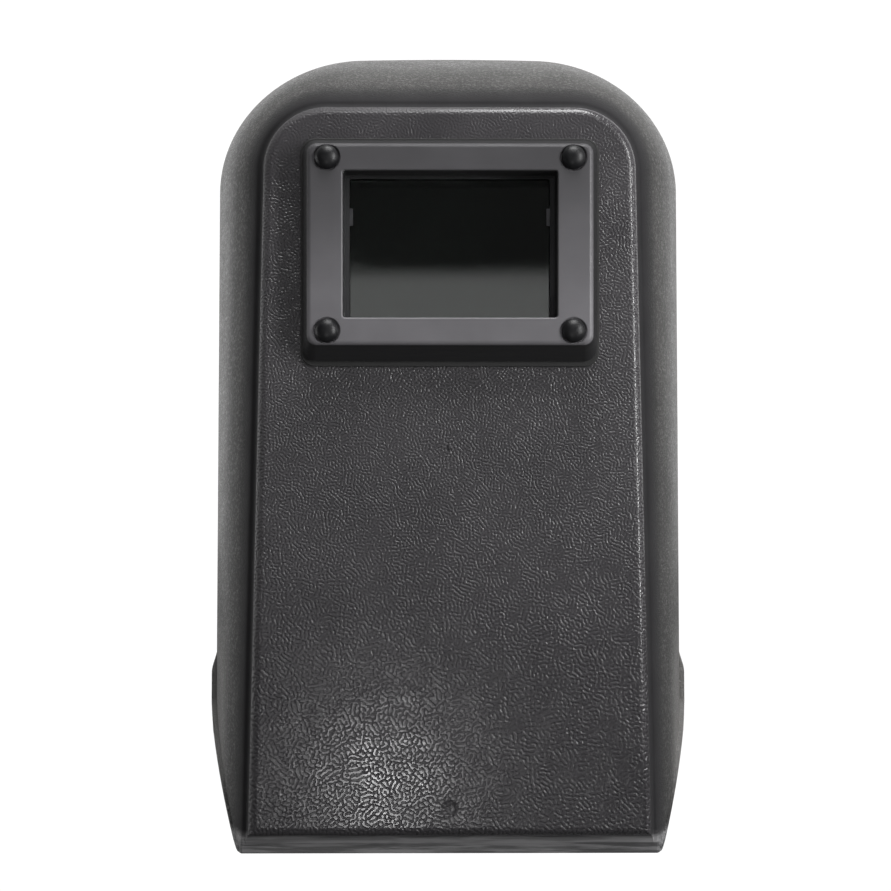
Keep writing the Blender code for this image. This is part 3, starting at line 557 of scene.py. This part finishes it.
def rounded_rectangle(half_x, top, bottom, radius, steps=8):
    """Points round a rectangle with rounded corners, centred across."""
    points = []
    corners = ((1, top, 0), (-1, top, 90), (-1, bottom, 180), (1, bottom, 270))
    for side, edge, start in corners:
        centre_x = side * (half_x - radius)
        centre_z = edge - radius if edge == top else edge + radius
        points.extend(arc(centre_x, centre_z, radius, radius, start, start + 90, steps))
    return points


def window_ring(depth, half_x, half_z, radius, extra_top=0.0, extra_bottom=0.0):
    """A rounded rectangle round the window's centre, at one depth."""
    outline = rounded_rectangle(half_x, half_z + extra_top, -half_z - extra_bottom, radius)
    return [place(x, depth, WINDOW_HEIGHT + z) for x, z in outline]


def turned(profile, sides, axis_point):
    """A closed body turned about the Y axis; a profile that starts or ends at radius 0 closes on the axis."""
    bm = bmesh.new()
    rings = []
    for radius, y in profile:
        ring = []
        count = 1 if radius == 0.0 else sides
        for i in range(count):
            angle = math.tau * i / count
            offset = Vector((radius * math.cos(angle), y, radius * math.sin(angle)))
            ring.append(bm.verts.new(Vector(axis_point) + offset))
        rings.append(ring)
    for first, second in zip(rings, rings[1:]):
        for i in range(sides):
            j = (i + 1) % sides
            corners = [first[i % len(first)], first[j % len(first)]]
            corners += [second[j % len(second)], second[i % len(second)]]
            bm.faces.new(list(dict.fromkeys(corners)))
    for ring in (rings[0], rings[-1]):
        if len(ring) > 1:
            bm.faces.new(ring)
    return bm


def turned_ring(profile, sides):
    """A ring-shaped body turned about the Y axis through the origin."""
    rings = []
    for i in range(sides):
        angle = math.tau * i / sides
        rings.append([
            Vector((radius * math.cos(angle), y, radius * math.sin(angle)))
            for radius, y in profile
        ])
    return loop_loft(rings)


def tool(name, bm):
    """A hidden cutting or joining form."""
    made = bpy.data.objects.new(name, mesh_from(name, bm))
    bpy.context.scene.collection.objects.link(made)
    return made


def boolean(target, cutter, operation="DIFFERENCE"):
    """Applies one exact Boolean to target's mesh and removes the tool."""
    modifier = target.modifiers.new("cut", "BOOLEAN")
    modifier.operation = operation
    modifier.solver = "EXACT"
    modifier.object = cutter
    graph = bpy.context.evaluated_depsgraph_get()
    result = bpy.data.meshes.new_from_object(target.evaluated_get(graph))
    target.modifiers.clear()
    target.data = result
    bpy.data.objects.remove(cutter)
    return target


def drill(x, height, radius, front, back, sides=32):
    """A round cutting form along the Y axis, from front to back."""
    return tool("drill", turned([(radius, front), (radius, back)], sides, place(x, 0.0, height)))


def add_cut_piece(form, name, look, replaced):
    """Turns a cut form into a piece of the shield; wide flat faces look flat beside small rounded ones."""
    data = form.data.copy()
    bpy.data.objects.remove(form)
    piece = add_piece(name, data, look, "shield", replaced, smooth_angle=35.0)
    weighted = piece.modifiers.new("even_normals", "WEIGHTED_NORMAL")
    weighted.weight = 90
    weighted.keep_sharp = True


# ------------------------------------------------------------------ shield


def plateau_half(height):
    """Half the panel's width at a height."""
    return PLATEAU_HALF_AT_BASE - PLATEAU_TAPER * height


def rim_half(height):
    """Half the rim's width at a height."""
    return RIM_HALF_AT_BASE - RIM_TAPER * height


def flange_share(height):
    """How far the lip turns out: nothing at the foot, 1 where it is full, then easing into the wall."""
    rise = min(max(height / FLANGE_START, 0.0), 1.0)
    fade = min(max((height - FLANGE_FULL) / (FLANGE_END - FLANGE_FULL), 0.0), 1.0)
    eased = fade * fade * (3.0 - 2.0 * fade)
    return blend(FLANGE_AT_FOOT, 1.0, rise) - (1.0 + FLANGE_SINK) * eased


def shield_half(height, flare):
    """Half the shield's width at a height, for one section's flare."""
    foot = plateau_half(height) + STEP_SIDE * min(1.0 + flare, 1.0)
    return blend(foot, rim_half(height), max(flare, 0.0))


def shield_ring(depth, flare, inset, bottom, grow=0.0):
    """One arch-shaped section: flare is -1 at the panel's edge, 0 at the step's foot and 1 at the rim."""
    step = min(1.0 + flare, 1.0)
    spread = max(flare, 0.0)
    shrink = inset - grow * flange_share(RIM_TOP)
    foot_corner = PLATEAU_CORNER + STEP_SIDE * step
    across = blend(foot_corner, RIM_CORNER_ACROSS, spread) - shrink
    up = blend(foot_corner, RIM_CORNER_UP, spread) - shrink
    top = blend(PLATEAU_TOP + STEP_TOP * step, RIM_TOP - RIM_CROWN, spread) - shrink
    crown = RIM_CROWN * spread
    shoulder = top - up
    if grow:
        side_heights = [bottom, 0.0, FLANGE_START]
        side_heights.extend(blend(FLANGE_FULL, FLANGE_END, i / 12) for i in range(13))
    else:
        side_heights = [blend(bottom, shoulder, i / 8) for i in range(8)]
    right = []
    for height in side_heights:
        right.append((shield_half(height, flare) - inset + grow * flange_share(height), height))
    corner_x = shield_half(shoulder, flare) - shrink - across
    right.extend(arc(corner_x, shoulder, across, up, 0, 90, 36))
    for share in (0.8, 0.55, 0.28):
        right.append((corner_x * share, top + crown * (1.0 - share * share)))
    left = [(-x, height) for x, height in reversed(right)]
    outline = right + [(0.0, top + crown)] + left
    return [place(x, depth, height) for x, height in outline]


def wall_flare(share):
    """How far the wall has spread at a share of its depth: partly straight, partly bowed outwards."""
    bulge = 1.0 - (1.0 - share) ** 2
    return WALL_STRAIGHTNESS * share + (1.0 - WALL_STRAIGHTNESS) * bulge


def rounded_through(first, middle, last, steps):
    """Rings that turn smoothly from first to last past middle."""
    made = []
    for i in range(steps + 1):
        t = i / steps
        made.append([
            (1 - t) * (1 - t) * a + 2 * t * (1 - t) * b + t * t * c
            for a, b, c in zip(first, middle, last)
        ])
    return made


def between(first, second, amount):
    """A ring part of the way from first to second."""
    return [blend(a, b, amount) for a, b in zip(first, second)]


def shield_rings(inset, grow):
    """The shield's outer form, or its hollow when inset is the wall's thickness."""
    sunk = 4.0 * grow
    below = -BELOW_FOOT - sunk
    panel_foot = PLATEAU_BOTTOM + inset * FOOT_SLANT - sunk
    step_foot = panel_foot - (PLATEAU_BOTTOM - STEP_BOTTOM)

    def wall(share, bottom=below):
        depth = blend(STEP_DEPTH, RIM_DEPTH, share) + inset
        flare = wall_flare(min(share, 1.0)) + max(share - 1.0, 0.0) * WALL_STRAIGHTNESS
        return shield_ring(depth, flare, inset, bottom, grow)

    rings = []
    for angle in range(0, 91, 10):
        turn = math.radians(angle)
        edge = EDGE_ROUND * (1.0 - math.sin(turn))
        depth = EDGE_ROUND * (1.0 - math.cos(turn)) + inset
        rings.append(shield_ring(depth, -1.0, edge + inset, panel_foot + edge, grow))
    sill = blend(panel_foot, step_foot, STEP_FOOT_SHARE)
    groove_depth = STEP_FOOT_DEPTH + 2.0 * MM + inset
    groove = shield_ring(groove_depth, STEP_FOOT_SHARE / 2 - 1.0, inset, sill, grow)
    shoulder = shield_ring(STEP_DEPTH + inset, 0.0, inset, -LIP_DROP - sunk, grow)
    middle = between(groove, shoulder, 0.5)
    rings.extend(rounded_through(rings.pop(), groove, middle, 10))
    rings.extend(rounded_through(rings.pop(), shoulder, wall(0.12), 10))
    shares = (0.2, 0.27, 0.35, 0.43, 0.52, 0.61, 0.7, 0.8, 0.9, 1.0, 1.06)
    rings.extend(wall(share) for share in shares)
    return rings


def side_profile(outline):
    """An outline in depth and height, drawn right across the shield."""
    rings = [[place(x, depth, height) for depth, height in outline] for x in (-WELL_PAST, WELL_PAST)]
    return tool("side_profile", loft(rings))


def flange_form():
    """The lip turned out along the foot and the cut-back lower sides."""
    slope = math.atan2(TRIM_HEIGHT, RIM_DEPTH - LIP_BACK_DEPTH)
    rise = FLANGE_THICK / math.cos(slope)
    front = RIM_DEPTH - FLANGE_THICK
    past = 4.0 * MM
    flange = tool("flange", loft(shield_rings(0.0, FLANGE_WIDTH)))
    band = side_profile([
        (LIP_BACK_DEPTH, rise),
        (front, TRIM_HEIGHT + rise - FLANGE_THICK * math.tan(slope)),
        (front, FLANGE_END),
        (RIM_DEPTH + past, FLANGE_END),
        (RIM_DEPTH + past, TRIM_HEIGHT - past),
        (LIP_BACK_DEPTH, -past),
    ])
    return boolean(flange, band, "INTERSECT")


def lip_corner_tool(side):
    """What lies outside the rounded corner between the lower lip and its sloping side."""
    half = shield_half(0.0, LIP_FLARE) + FLANGE_WIDTH * FLANGE_AT_FOOT
    start = half - LIP_CORNER * math.tan(math.radians((90.0 - LIP_EDGE_LEAN) / 2))
    past = 3.0 * MM
    outline = list(arc(start, LIP_CORNER, LIP_CORNER, LIP_CORNER, -LIP_EDGE_LEAN, -90, 10))
    outer, upper = outline[0]
    outline.extend([(start, -past), (outer + past, -past), (outer + past, upper)])
    depths = (0.0, LIP_BACK_DEPTH * 2.0)
    rings = [[place(side * x, depth, height) for x, height in outline] for depth in depths]
    return tool("lip_corner", loft(rings))


def screw_boss(height):
    """The blind boss of one handle screw, with a fillet round its foot and a softened end."""
    foot = BOSS_RADIUS + 1.6 * MM
    soft = 0.4 * MM
    profile = [
        (foot, WALL / 2), (foot, WALL), (BOSS_RADIUS + 0.5 * MM, WALL + 0.5 * MM),
        (BOSS_RADIUS, WALL + 1.6 * MM), (BOSS_RADIUS, BOSS_DEPTH - soft), (BOSS_RADIUS - soft, BOSS_DEPTH),
    ]
    return tool("boss", turned(profile, 40, place(0.0, 0.0, height)))


def centre_nub():
    """The small raised mark on the panel in front of the upper screw."""
    profile = [(0.0, -0.9), (0.6, -0.8), (1.05, -0.45), (1.3, 0.0), (1.3, 0.6), (0.0, 0.6)]
    profile = [(radius * MM, y * MM) for radius, y in profile]
    return tool("nub", turned(profile, 20, place(0.0, 0.0, UPPER_SCREW_HEIGHT)))


def foot_dimple():
    """The shallow sink, part of a sphere, in the panel in front of the lower screw."""
    sphere = 14.0 * MM
    sink = 0.7 * MM
    bowl = [(0.0, sink)]
    for i in range(1, 9):
        angle = math.radians(3.2 * i)
        bowl.append((sphere * math.sin(angle), sink - sphere * (1.0 - math.cos(angle))))
    bowl.append((bowl[-1][0], -2.0 * MM))
    return tool("dimple", turned(bowl, 32, place(0.0, 0.0, LOWER_SCREW_HEIGHT)))


def shield():
    """The moulded shield: a hollow shell with its lip, bosses, window opening, rivet holes and marks."""
    body = tool("moulded_shield", loft(shield_rings(0.0, 0.0)))
    boolean(body, flange_form(), "UNION")
    boolean(body, tool("hollow", loft(shield_rings(WALL, 0.0))))
    touch = 0.05
    boolean(body, side_profile([
        (-touch, 0.0), (LIP_BACK_DEPTH, 0.0), (RIM_DEPTH, TRIM_HEIGHT), (RIM_DEPTH, RIM_TOP + touch),
        (WELL_PAST, RIM_TOP + touch), (WELL_PAST, -touch), (-touch, -touch),
    ]))
    for side in (-1, 1):
        boolean(body, lip_corner_tool(side))
    for height in (UPPER_SCREW_HEIGHT, LOWER_SCREW_HEIGHT):
        boolean(body, screw_boss(height), "UNION")
        boolean(body, drill(0.0, height, HOLE_RADIUS, WALL + 1.2 * MM, BOSS_DEPTH + WALL))
    front, back = -5.0 * MM, 8.0 * MM
    opening = [window_ring(depth, OPENING_HALF_X, OPENING_HALF_Z, 3.0 * MM) for depth in (front, back)]
    boolean(body, tool("opening", loft(opening)))
    for x, z in rivet_places():
        boolean(body, drill(x, WINDOW_HEIGHT + z, HOLE_RADIUS, front, back))
    boolean(body, centre_nub(), "UNION")
    boolean(body, foot_dimple())
    add_cut_piece(body, "moulded_shield", "shell", ["shell"])


def rivet_places():
    """The rivets' places round the window's centre: upper left, upper right, lower left, lower right."""
    return [(x, z) for z in (RIVET_Z, -RIVET_Z) for x in (-RIVET_X, RIVET_X)]


# ------------------------------------------------------------------ window


def bezel_rings():
    """Sections from the spigot's inner end, out over the face, down the skirt and back to the spigot."""
    back = -1.6 * MM
    spigot_end = WALL - 0.1 * MM
    sight_corner = 1.2 * MM
    inner_round = 0.8 * MM
    outer_round = 2.4 * MM
    skirt_corner = 6.0 * MM
    rings = [window_ring(spigot_end, SIGHT_HALF_X, SIGHT_HALF_Z, sight_corner)]
    for angle in (0, 30, 60, 90):
        turn = math.radians(angle)
        out = inner_round * (1.0 - math.cos(turn))
        depth = FRAME_FRONT + inner_round * (1.0 - math.sin(turn))
        rings.append(window_ring(depth, SIGHT_HALF_X + out, SIGHT_HALF_Z + out, sight_corner + out))
    for angle in range(0, 91, 15):
        turn = math.radians(angle)
        inward = outer_round * (1.0 - math.sin(turn))
        depth = FRAME_FRONT + outer_round * (1.0 - math.cos(turn))
        corner = FRAME_CORNER - inward * 0.8
        rings.append(window_ring(depth, FRAME_HALF_X - inward, FRAME_HALF_Z - inward, corner))
    for share in (0.06, 0.5, 0.94, 1.0):
        depth = blend(FRAME_FRONT + outer_round, back - 1.0 * MM, share)
        half_x = FRAME_HALF_X + FRAME_SKIRT_SIDE * share
        corner = blend(FRAME_CORNER, skirt_corner, share)
        skirt = (FRAME_SKIRT_TOP * share, FRAME_SKIRT_BOTTOM * share)
        rings.append(window_ring(depth, half_x, FRAME_HALF_Z, corner, *skirt))
    rings.append(window_ring(back, half_x, FRAME_HALF_Z, skirt_corner, *skirt))
    for depth in (back, spigot_end):
        rings.append(window_ring(depth, SIGHT_HALF_X + SPIGOT_WALL, SIGHT_HALF_Z + SPIGOT_WALL, 2.4 * MM))
    return rings


def window_bezel():
    """The window's raised frame, with a shallow dish and a hole for each rivet."""
    bezel = tool("window_bezel", loop_loft(bezel_rings()))
    steps = ((0.6, -2.0), (0.6, -0.02), (0.25, 0.12), (0.0, 0.45), (-0.25, 0.8))
    dish = [(RIVET_RECESS_RADIUS + out * MM, FRAME_FRONT + sunk * MM) for out, sunk in steps]
    dish.append((RIVET_RECESS_RADIUS - 0.7 * MM, FRAME_FRONT + RIVET_RECESS_DEPTH))
    for x, z in rivet_places():
        height = WINDOW_HEIGHT + z
        boolean(bezel, drill(x, height, HOLE_RADIUS, FRAME_FRONT - 3 * MM, 3 * MM))
        boolean(bezel, tool("dish", turned(dish, 40, place(x, 0.0, height))))
    add_cut_piece(bezel, "window_bezel", "frame", ["window_frame"])


def bezel_gasket():
    """The thin rubber base between the window's frame and the panel."""
    front, back = -1.3 * MM, -0.3 * MM
    inner = (OPENING_HALF_X, OPENING_HALF_Z, 2.8 * MM)
    outer = (FRAME_HALF_X + FRAME_SKIRT_SIDE + GASKET_MARGIN, FRAME_HALF_Z, 6.6 * MM,
             FRAME_SKIRT_TOP + GASKET_MARGIN, FRAME_SKIRT_BOTTOM + 2.4 * MM)
    soft = 0.3 * MM
    trimmed = (outer[0] - soft, outer[1] - soft, *outer[2:])
    rings = [window_ring(front, *inner), window_ring(front, *trimmed), window_ring(front + soft, *outer),
             window_ring(back, *outer), window_ring(back, *inner)]
    gasket = tool("bezel_gasket", loop_loft(rings))
    for x, z in rivet_places():
        boolean(gasket, drill(x, WINDOW_HEIGHT + z, HOLE_RADIUS, -5.0 * MM, 3.0 * MM))
    add_cut_piece(gasket, "bezel_gasket", "rubber", ["frame_gasket"])


def dome_rivets():
    """Four rivets with domed heads and plain shanks."""
    seat = FRAME_FRONT + RIVET_RECESS_DEPTH - 0.3 * MM
    tail = SHELF_REAR - 2.4 * MM
    crown = RIVET_HEAD_HEIGHT - 0.5 * MM
    profile = []
    for i in range(13):
        angle = math.radians(90.0 * i / 12)
        profile.append((RIVET_HEAD_RADIUS * math.sin(angle), seat - 0.5 * MM - crown * math.cos(angle)))
    soft = 0.15 * MM
    profile += [
        (RIVET_HEAD_RADIUS, seat - soft), (RIVET_HEAD_RADIUS - soft, seat), (RIVET_SHANK_RADIUS, seat),
        (RIVET_SHANK_RADIUS, tail - 0.8 * MM), (RIVET_SHANK_RADIUS - 0.6 * MM, tail), (0.0, tail),
    ]
    names = ("upper_left", "upper_right", "lower_left", "lower_right")
    for label, (x, z) in zip(names, rivet_places()):
        mesh = mesh_from("dome", turned(profile, 40, place(x, 0.0, WINDOW_HEIGHT + z)))
        add_piece("dome_rivet_" + label, mesh, "dome", "shield", ["rivet_" + label])


# ------------------------------------------------------------------ bail and handle


def rounded_route(corners, radius, steps):
    """A route through corners, each turned with a radius."""
    route = [Vector(corners[0])]
    for before, corner, after in zip(corners, corners[1:], corners[2:]):
        corner = Vector(corner)
        towards = (Vector(before) - corner).normalized()
        away = (Vector(after) - corner).normalized()
        half_angle = towards.angle(away) / 2
        reach = radius / math.tan(half_angle)
        centre = corner + (towards + away).normalized() * radius / math.sin(half_angle)
        first = corner + towards * reach - centre
        last = corner + away * reach - centre
        route.extend(centre + first.slerp(last, i / steps).normalized() * radius for i in range(steps + 1))
    route.append(Vector(corners[-1]))
    return route


def round_bar(route, radius, sides, across):
    """A round bar along a route in the plane at right angles to across, with softened ends."""
    rings = []
    last = len(route) - 1
    across = Vector(across)
    for i, point in enumerate(route):
        along = (route[min(i + 1, last)] - route[max(i - 1, 0)]).normalized()
        normal = along.cross(across)
        angles = [math.tau * k / sides for k in range(sides)]
        rings.append([point + radius * (math.cos(a) * across + math.sin(a) * normal) for a in angles])
    return loft(rings)


def wire_bail():
    """The bent wire that clamps the plates, with a thumb loop in the middle and a pin at each end."""
    half, loop, top = BAIL_HALF_X, THUMB_LOOP_HALF_X, BAIL_RISE
    lean = 3.0 * MM
    corners = [
        (-BAIL_END_X, 0, 0), (-half, 0, 0), (-half, 0, top), (-loop, 0, top),
        (-loop + lean, 0, top + THUMB_LOOP_RISE), (loop - lean, 0, top + THUMB_LOOP_RISE),
        (loop, 0, top), (half, 0, top), (half, 0, 0), (BAIL_END_X, 0, 0),
    ]
    route = rounded_route(corners, BAIL_WIRE_BEND, 8)
    axis = place(0.0, BAIL_AXIS_DEPTH, WINDOW_HEIGHT - BAIL_AXIS_BELOW)
    bar = round_bar([point + axis for point in route], BAIL_WIRE_RADIUS, 20, (0, 1, 0))
    add_piece("wire_bail", mesh_from("wire_bail", bar), "spring", "bail", ["bail"])


def bar_and_feet():
    """The handle's bent bar, joined to two flat screwed feet."""
    upper_post = UPPER_SCREW_HEIGHT - POST_INSET
    lower_post = LOWER_SCREW_HEIGHT + POST_INSET
    start = FOOT_FRONT + 1.0 * MM
    foot_back = FOOT_FRONT + FOOT_THICK
    soft = 0.9 * MM
    corners = [place(0.0, start, upper_post), place(0.0, GRIP_DEPTH, upper_post),
               place(0.0, GRIP_DEPTH, lower_post), place(0.0, start, lower_post)]
    bar = tool("bar", round_bar(rounded_route(corners, BAR_BEND, 14), BAR_RADIUS, 40, (1, 0, 0)))
    for screw, post in ((UPPER_SCREW_HEIGHT, upper_post), (LOWER_SCREW_HEIGHT, lower_post)):
        away = 1 if screw > post else -1
        low, high = sorted((screw + away * 10.0 * MM, post - away * 11.5 * MM))
        rings = []
        for depth, inward in ((FOOT_FRONT, 0.0), (foot_back - soft, 0.0),
                              (foot_back - 0.3 * soft, 0.3 * soft), (foot_back, soft)):
            outline = rounded_rectangle(FOOT_HALF_X - inward, high - inward, low + inward, FOOT_CORNER, 10)
            rings.append([place(x, depth, z) for x, z in outline])
        boolean(bar, tool("foot", loft(rings)), "UNION")
        boolean(bar, drill(0.0, screw, HOLE_RADIUS, FOOT_FRONT - 2 * MM, foot_back + 2 * MM))
    add_cut_piece(bar, "handle_bar", "satin", ["handle_core"])


def ribbed_sleeve():
    """The rubber grip, turned with even grooves and stood upright."""
    bore = BAR_RADIUS + 0.3 * MM
    half = SLEEVE_LENGTH / 2
    groove = 1.2 * MM
    pitch = SLEEVE_LENGTH / (SLEEVE_RIBS + 1)
    end = [(bore, half), (SLEEVE_RADIUS - 1.5 * MM, half), (SLEEVE_RADIUS - 0.5 * MM, half - 0.4 * MM),
           (SLEEVE_RADIUS, half - 1.5 * MM)]
    half_gap = ((-1.8, 0.0), (-1.4, 0.15), (-0.9, 0.8), (-0.5, 1.0))
    rib_gap = [*half_gap, *((-along, drop) for along, drop in reversed(half_gap))]
    profile = [(radius, -y) for radius, y in end]
    for i in range(SLEEVE_RIBS):
        middle = -half + pitch * (i + 1)
        profile.extend((SLEEVE_RADIUS - groove * drop, middle + along * MM) for along, drop in rib_gap)
    profile.extend(reversed(end))
    bm = turned_ring(profile, 56)
    bmesh.ops.rotate(bm, verts=bm.verts, matrix=Euler((math.radians(90), 0, 0)).to_matrix())
    mesh = mesh_from("ribbed_sleeve", bm)
    add_piece("ribbed_sleeve", mesh, "grip", "shield", ["grip_sleeve"])


# ------------------------------------------------------------------ CAD nodes that stay


def finish_cad_nodes():
    """Looks for the CAD nodes that are shown as they are."""
    looks = {
        "lens_holder": "satin",
        "lens_gasket": "rubber",
        "cover_glass": "glass",
        "lens_spacer": "fibre",
        "filter_glass": "filter",
        "inner_cover_plate": "inner",
        "retaining_frame": "zinc",
    }
    for side in ("left", "right"):
        looks["leaf_spring_" + side] = "spring"
    for end in ("upper", "lower"):
        looks["handle_screw_" + end] = "zinc"
        looks["handle_washer_" + end] = "zinc"
        for side in ("left", "right"):
            looks["lock_washer_" + end + "_" + side] = "spring"
    for name, look in looks.items():
        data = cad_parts[name].data
        data.materials.clear()
        data.materials.append(LOOKS[look])


# ------------------------------------------------------------------ building the stage, light and camera


def area_light(name, position, target, power, wide, tall=None):
    """A rectangular light that faces its target."""
    light = bpy.data.lights.new(name, "AREA")
    light.shape = "RECTANGLE"
    light.size = wide
    light.size_y = tall or wide
    light.energy = power
    lamp = bpy.data.objects.new(name, light)
    lamp.location = position
    lamp.rotation_euler = (Vector(target) - Vector(position)).to_track_quat("-Z", "Y").to_euler()
    bpy.context.scene.collection.objects.link(lamp)


def studio():
    """A pale floor, the surround light and five area lights."""
    floor_mesh = bpy.data.meshes.new("floor")
    z = -GRIP_HEIGHT - FLOOR_BELOW
    corners = [(FLOOR_HALF * x, FLOOR_HALF * y, z) for x, y in ((-1, -1), (1, -1), (1, 1), (-1, 1))]
    floor_mesh.from_pydata(corners, [], [(0, 1, 2, 3)])
    floor = bpy.data.objects.new("floor", floor_mesh)
    bpy.context.scene.collection.objects.link(floor)
    floor_mesh.materials.append(pale_floor())
    studio_air()
    area_light("top_softbox", (0.10, -0.35, 1.2), STUDIO_CENTRE, power=13.5, wide=0.6)
    area_light("right_softbox", (0.9, -0.75, 0.32), STUDIO_CENTRE, power=13.0, wide=0.2, tall=0.9)
    area_light("right_strip", (1.0, -0.25, 0.25), STUDIO_CENTRE, power=1.0, wide=0.12, tall=0.9)
    area_light("left_fill", (-1.1, 0.3, 0.0), STUDIO_CENTRE, power=5.0, wide=0.9)
    area_light("low_window", (-0.051, -0.65, -0.195), (-0.031, -0.05, -0.071), power=0.4, wide=0.035)


def split_for_camera(tree, elsewhere, seen, surface):
    """Shows one shader to the camera and the other to everything else."""
    rays = tree.nodes.new("ShaderNodeLightPath")
    mix = tree.nodes.new("ShaderNodeMixShader")
    tree.links.new(rays.outputs["Is Camera Ray"], mix.inputs[0])
    tree.links.new(elsewhere.outputs[0], mix.inputs[1])
    tree.links.new(seen.outputs[0], mix.inputs[2])
    tree.links.new(mix.outputs[0], surface)


def pale_floor():
    """White to the eye, but too dull to throw much light back up."""
    n = Nodes("pale_floor", (0.07, 0.07, 0.07), 0.9)
    n.finish(n.tint(n.noise(scale=3.0), (0.06, 0.06, 0.06), (0.08, 0.08, 0.08)))
    glow = n.add("ShaderNodeEmission", Strength=WHITE_TO_CAMERA)
    split_for_camera(n.tree, n.shader, glow, n.tree.nodes["Material Output"].inputs["Surface"])
    return n.material


def studio_air():
    """Surround light: dim in front, brighter behind, with a low pale band in front; white to the camera."""
    world = bpy.data.worlds.new("studio")
    bpy.context.scene.world = world
    world.use_nodes = True
    tree = world.node_tree
    tree.nodes.clear()

    def span(source, low, high, to_low, to_high):
        node = tree.nodes.new("ShaderNodeMapRange")
        node.interpolation_type = "SMOOTHSTEP"
        tree.links.new(source, node.inputs[0])
        for socket, number in zip(node.inputs[1:5], (low, high, to_low, to_high)):
            socket.default_value = number
        return node.outputs[0]

    def combine(operation, first, second):
        node = tree.nodes.new("ShaderNodeMath")
        node.operation = operation
        tree.links.new(first, node.inputs[0])
        tree.links.new(second, node.inputs[1])
        return node.outputs[0]

    direction = tree.nodes.new("ShaderNodeTexCoord")
    split = tree.nodes.new("ShaderNodeSeparateXYZ")
    tree.links.new(direction.outputs["Generated"], split.inputs[0])
    back = split.outputs["Y"]
    up = split.outputs["Z"]
    strength = span(back, -0.3, 1.0, 0.05, 1.20)
    below_top = span(up, 0.098, 0.112, 1.0, 0.0)
    band = combine("MULTIPLY", below_top, span(up, -0.30, -0.05, 0.0, 1.0))
    band = combine("MULTIPLY", band, span(back, -0.9, -0.7, 0.68, 0.0))
    around = tree.nodes.new("ShaderNodeBackground")
    tree.links.new(combine("ADD", strength, band), around.inputs["Strength"])
    seen = tree.nodes.new("ShaderNodeBackground")
    for shader in (around, seen):
        shader.inputs["Color"].default_value = (1.0, 1.0, 1.0, 1.0)
    seen.inputs["Strength"].default_value = WHITE_TO_CAMERA
    split_for_camera(tree, around, seen, tree.nodes.new("ShaderNodeOutputWorld").inputs["Surface"])


def camera():
    """A level camera in front of the shield."""
    eye = bpy.data.cameras.new("camera")
    eye.sensor_width = 36.0
    eye.lens = CAMERA_LENS
    eye.clip_start = 0.01
    holder = bpy.data.objects.new("camera", eye)
    holder.location = place(CAMERA_X, -CAMERA_AHEAD, CAMERA_HEIGHT)
    holder.rotation_euler = (math.radians(90.0), 0.0, math.radians(CAMERA_TURN))
    bpy.context.scene.collection.objects.link(holder)
    bpy.context.scene.camera = holder


shield()
window_bezel()
bezel_gasket()
dome_rivets()
wire_bail()
bar_and_feet()
ribbed_sleeve()
finish_cad_nodes()
studio()
camera()
bpy.context.scene.view_settings.view_transform = "Standard"
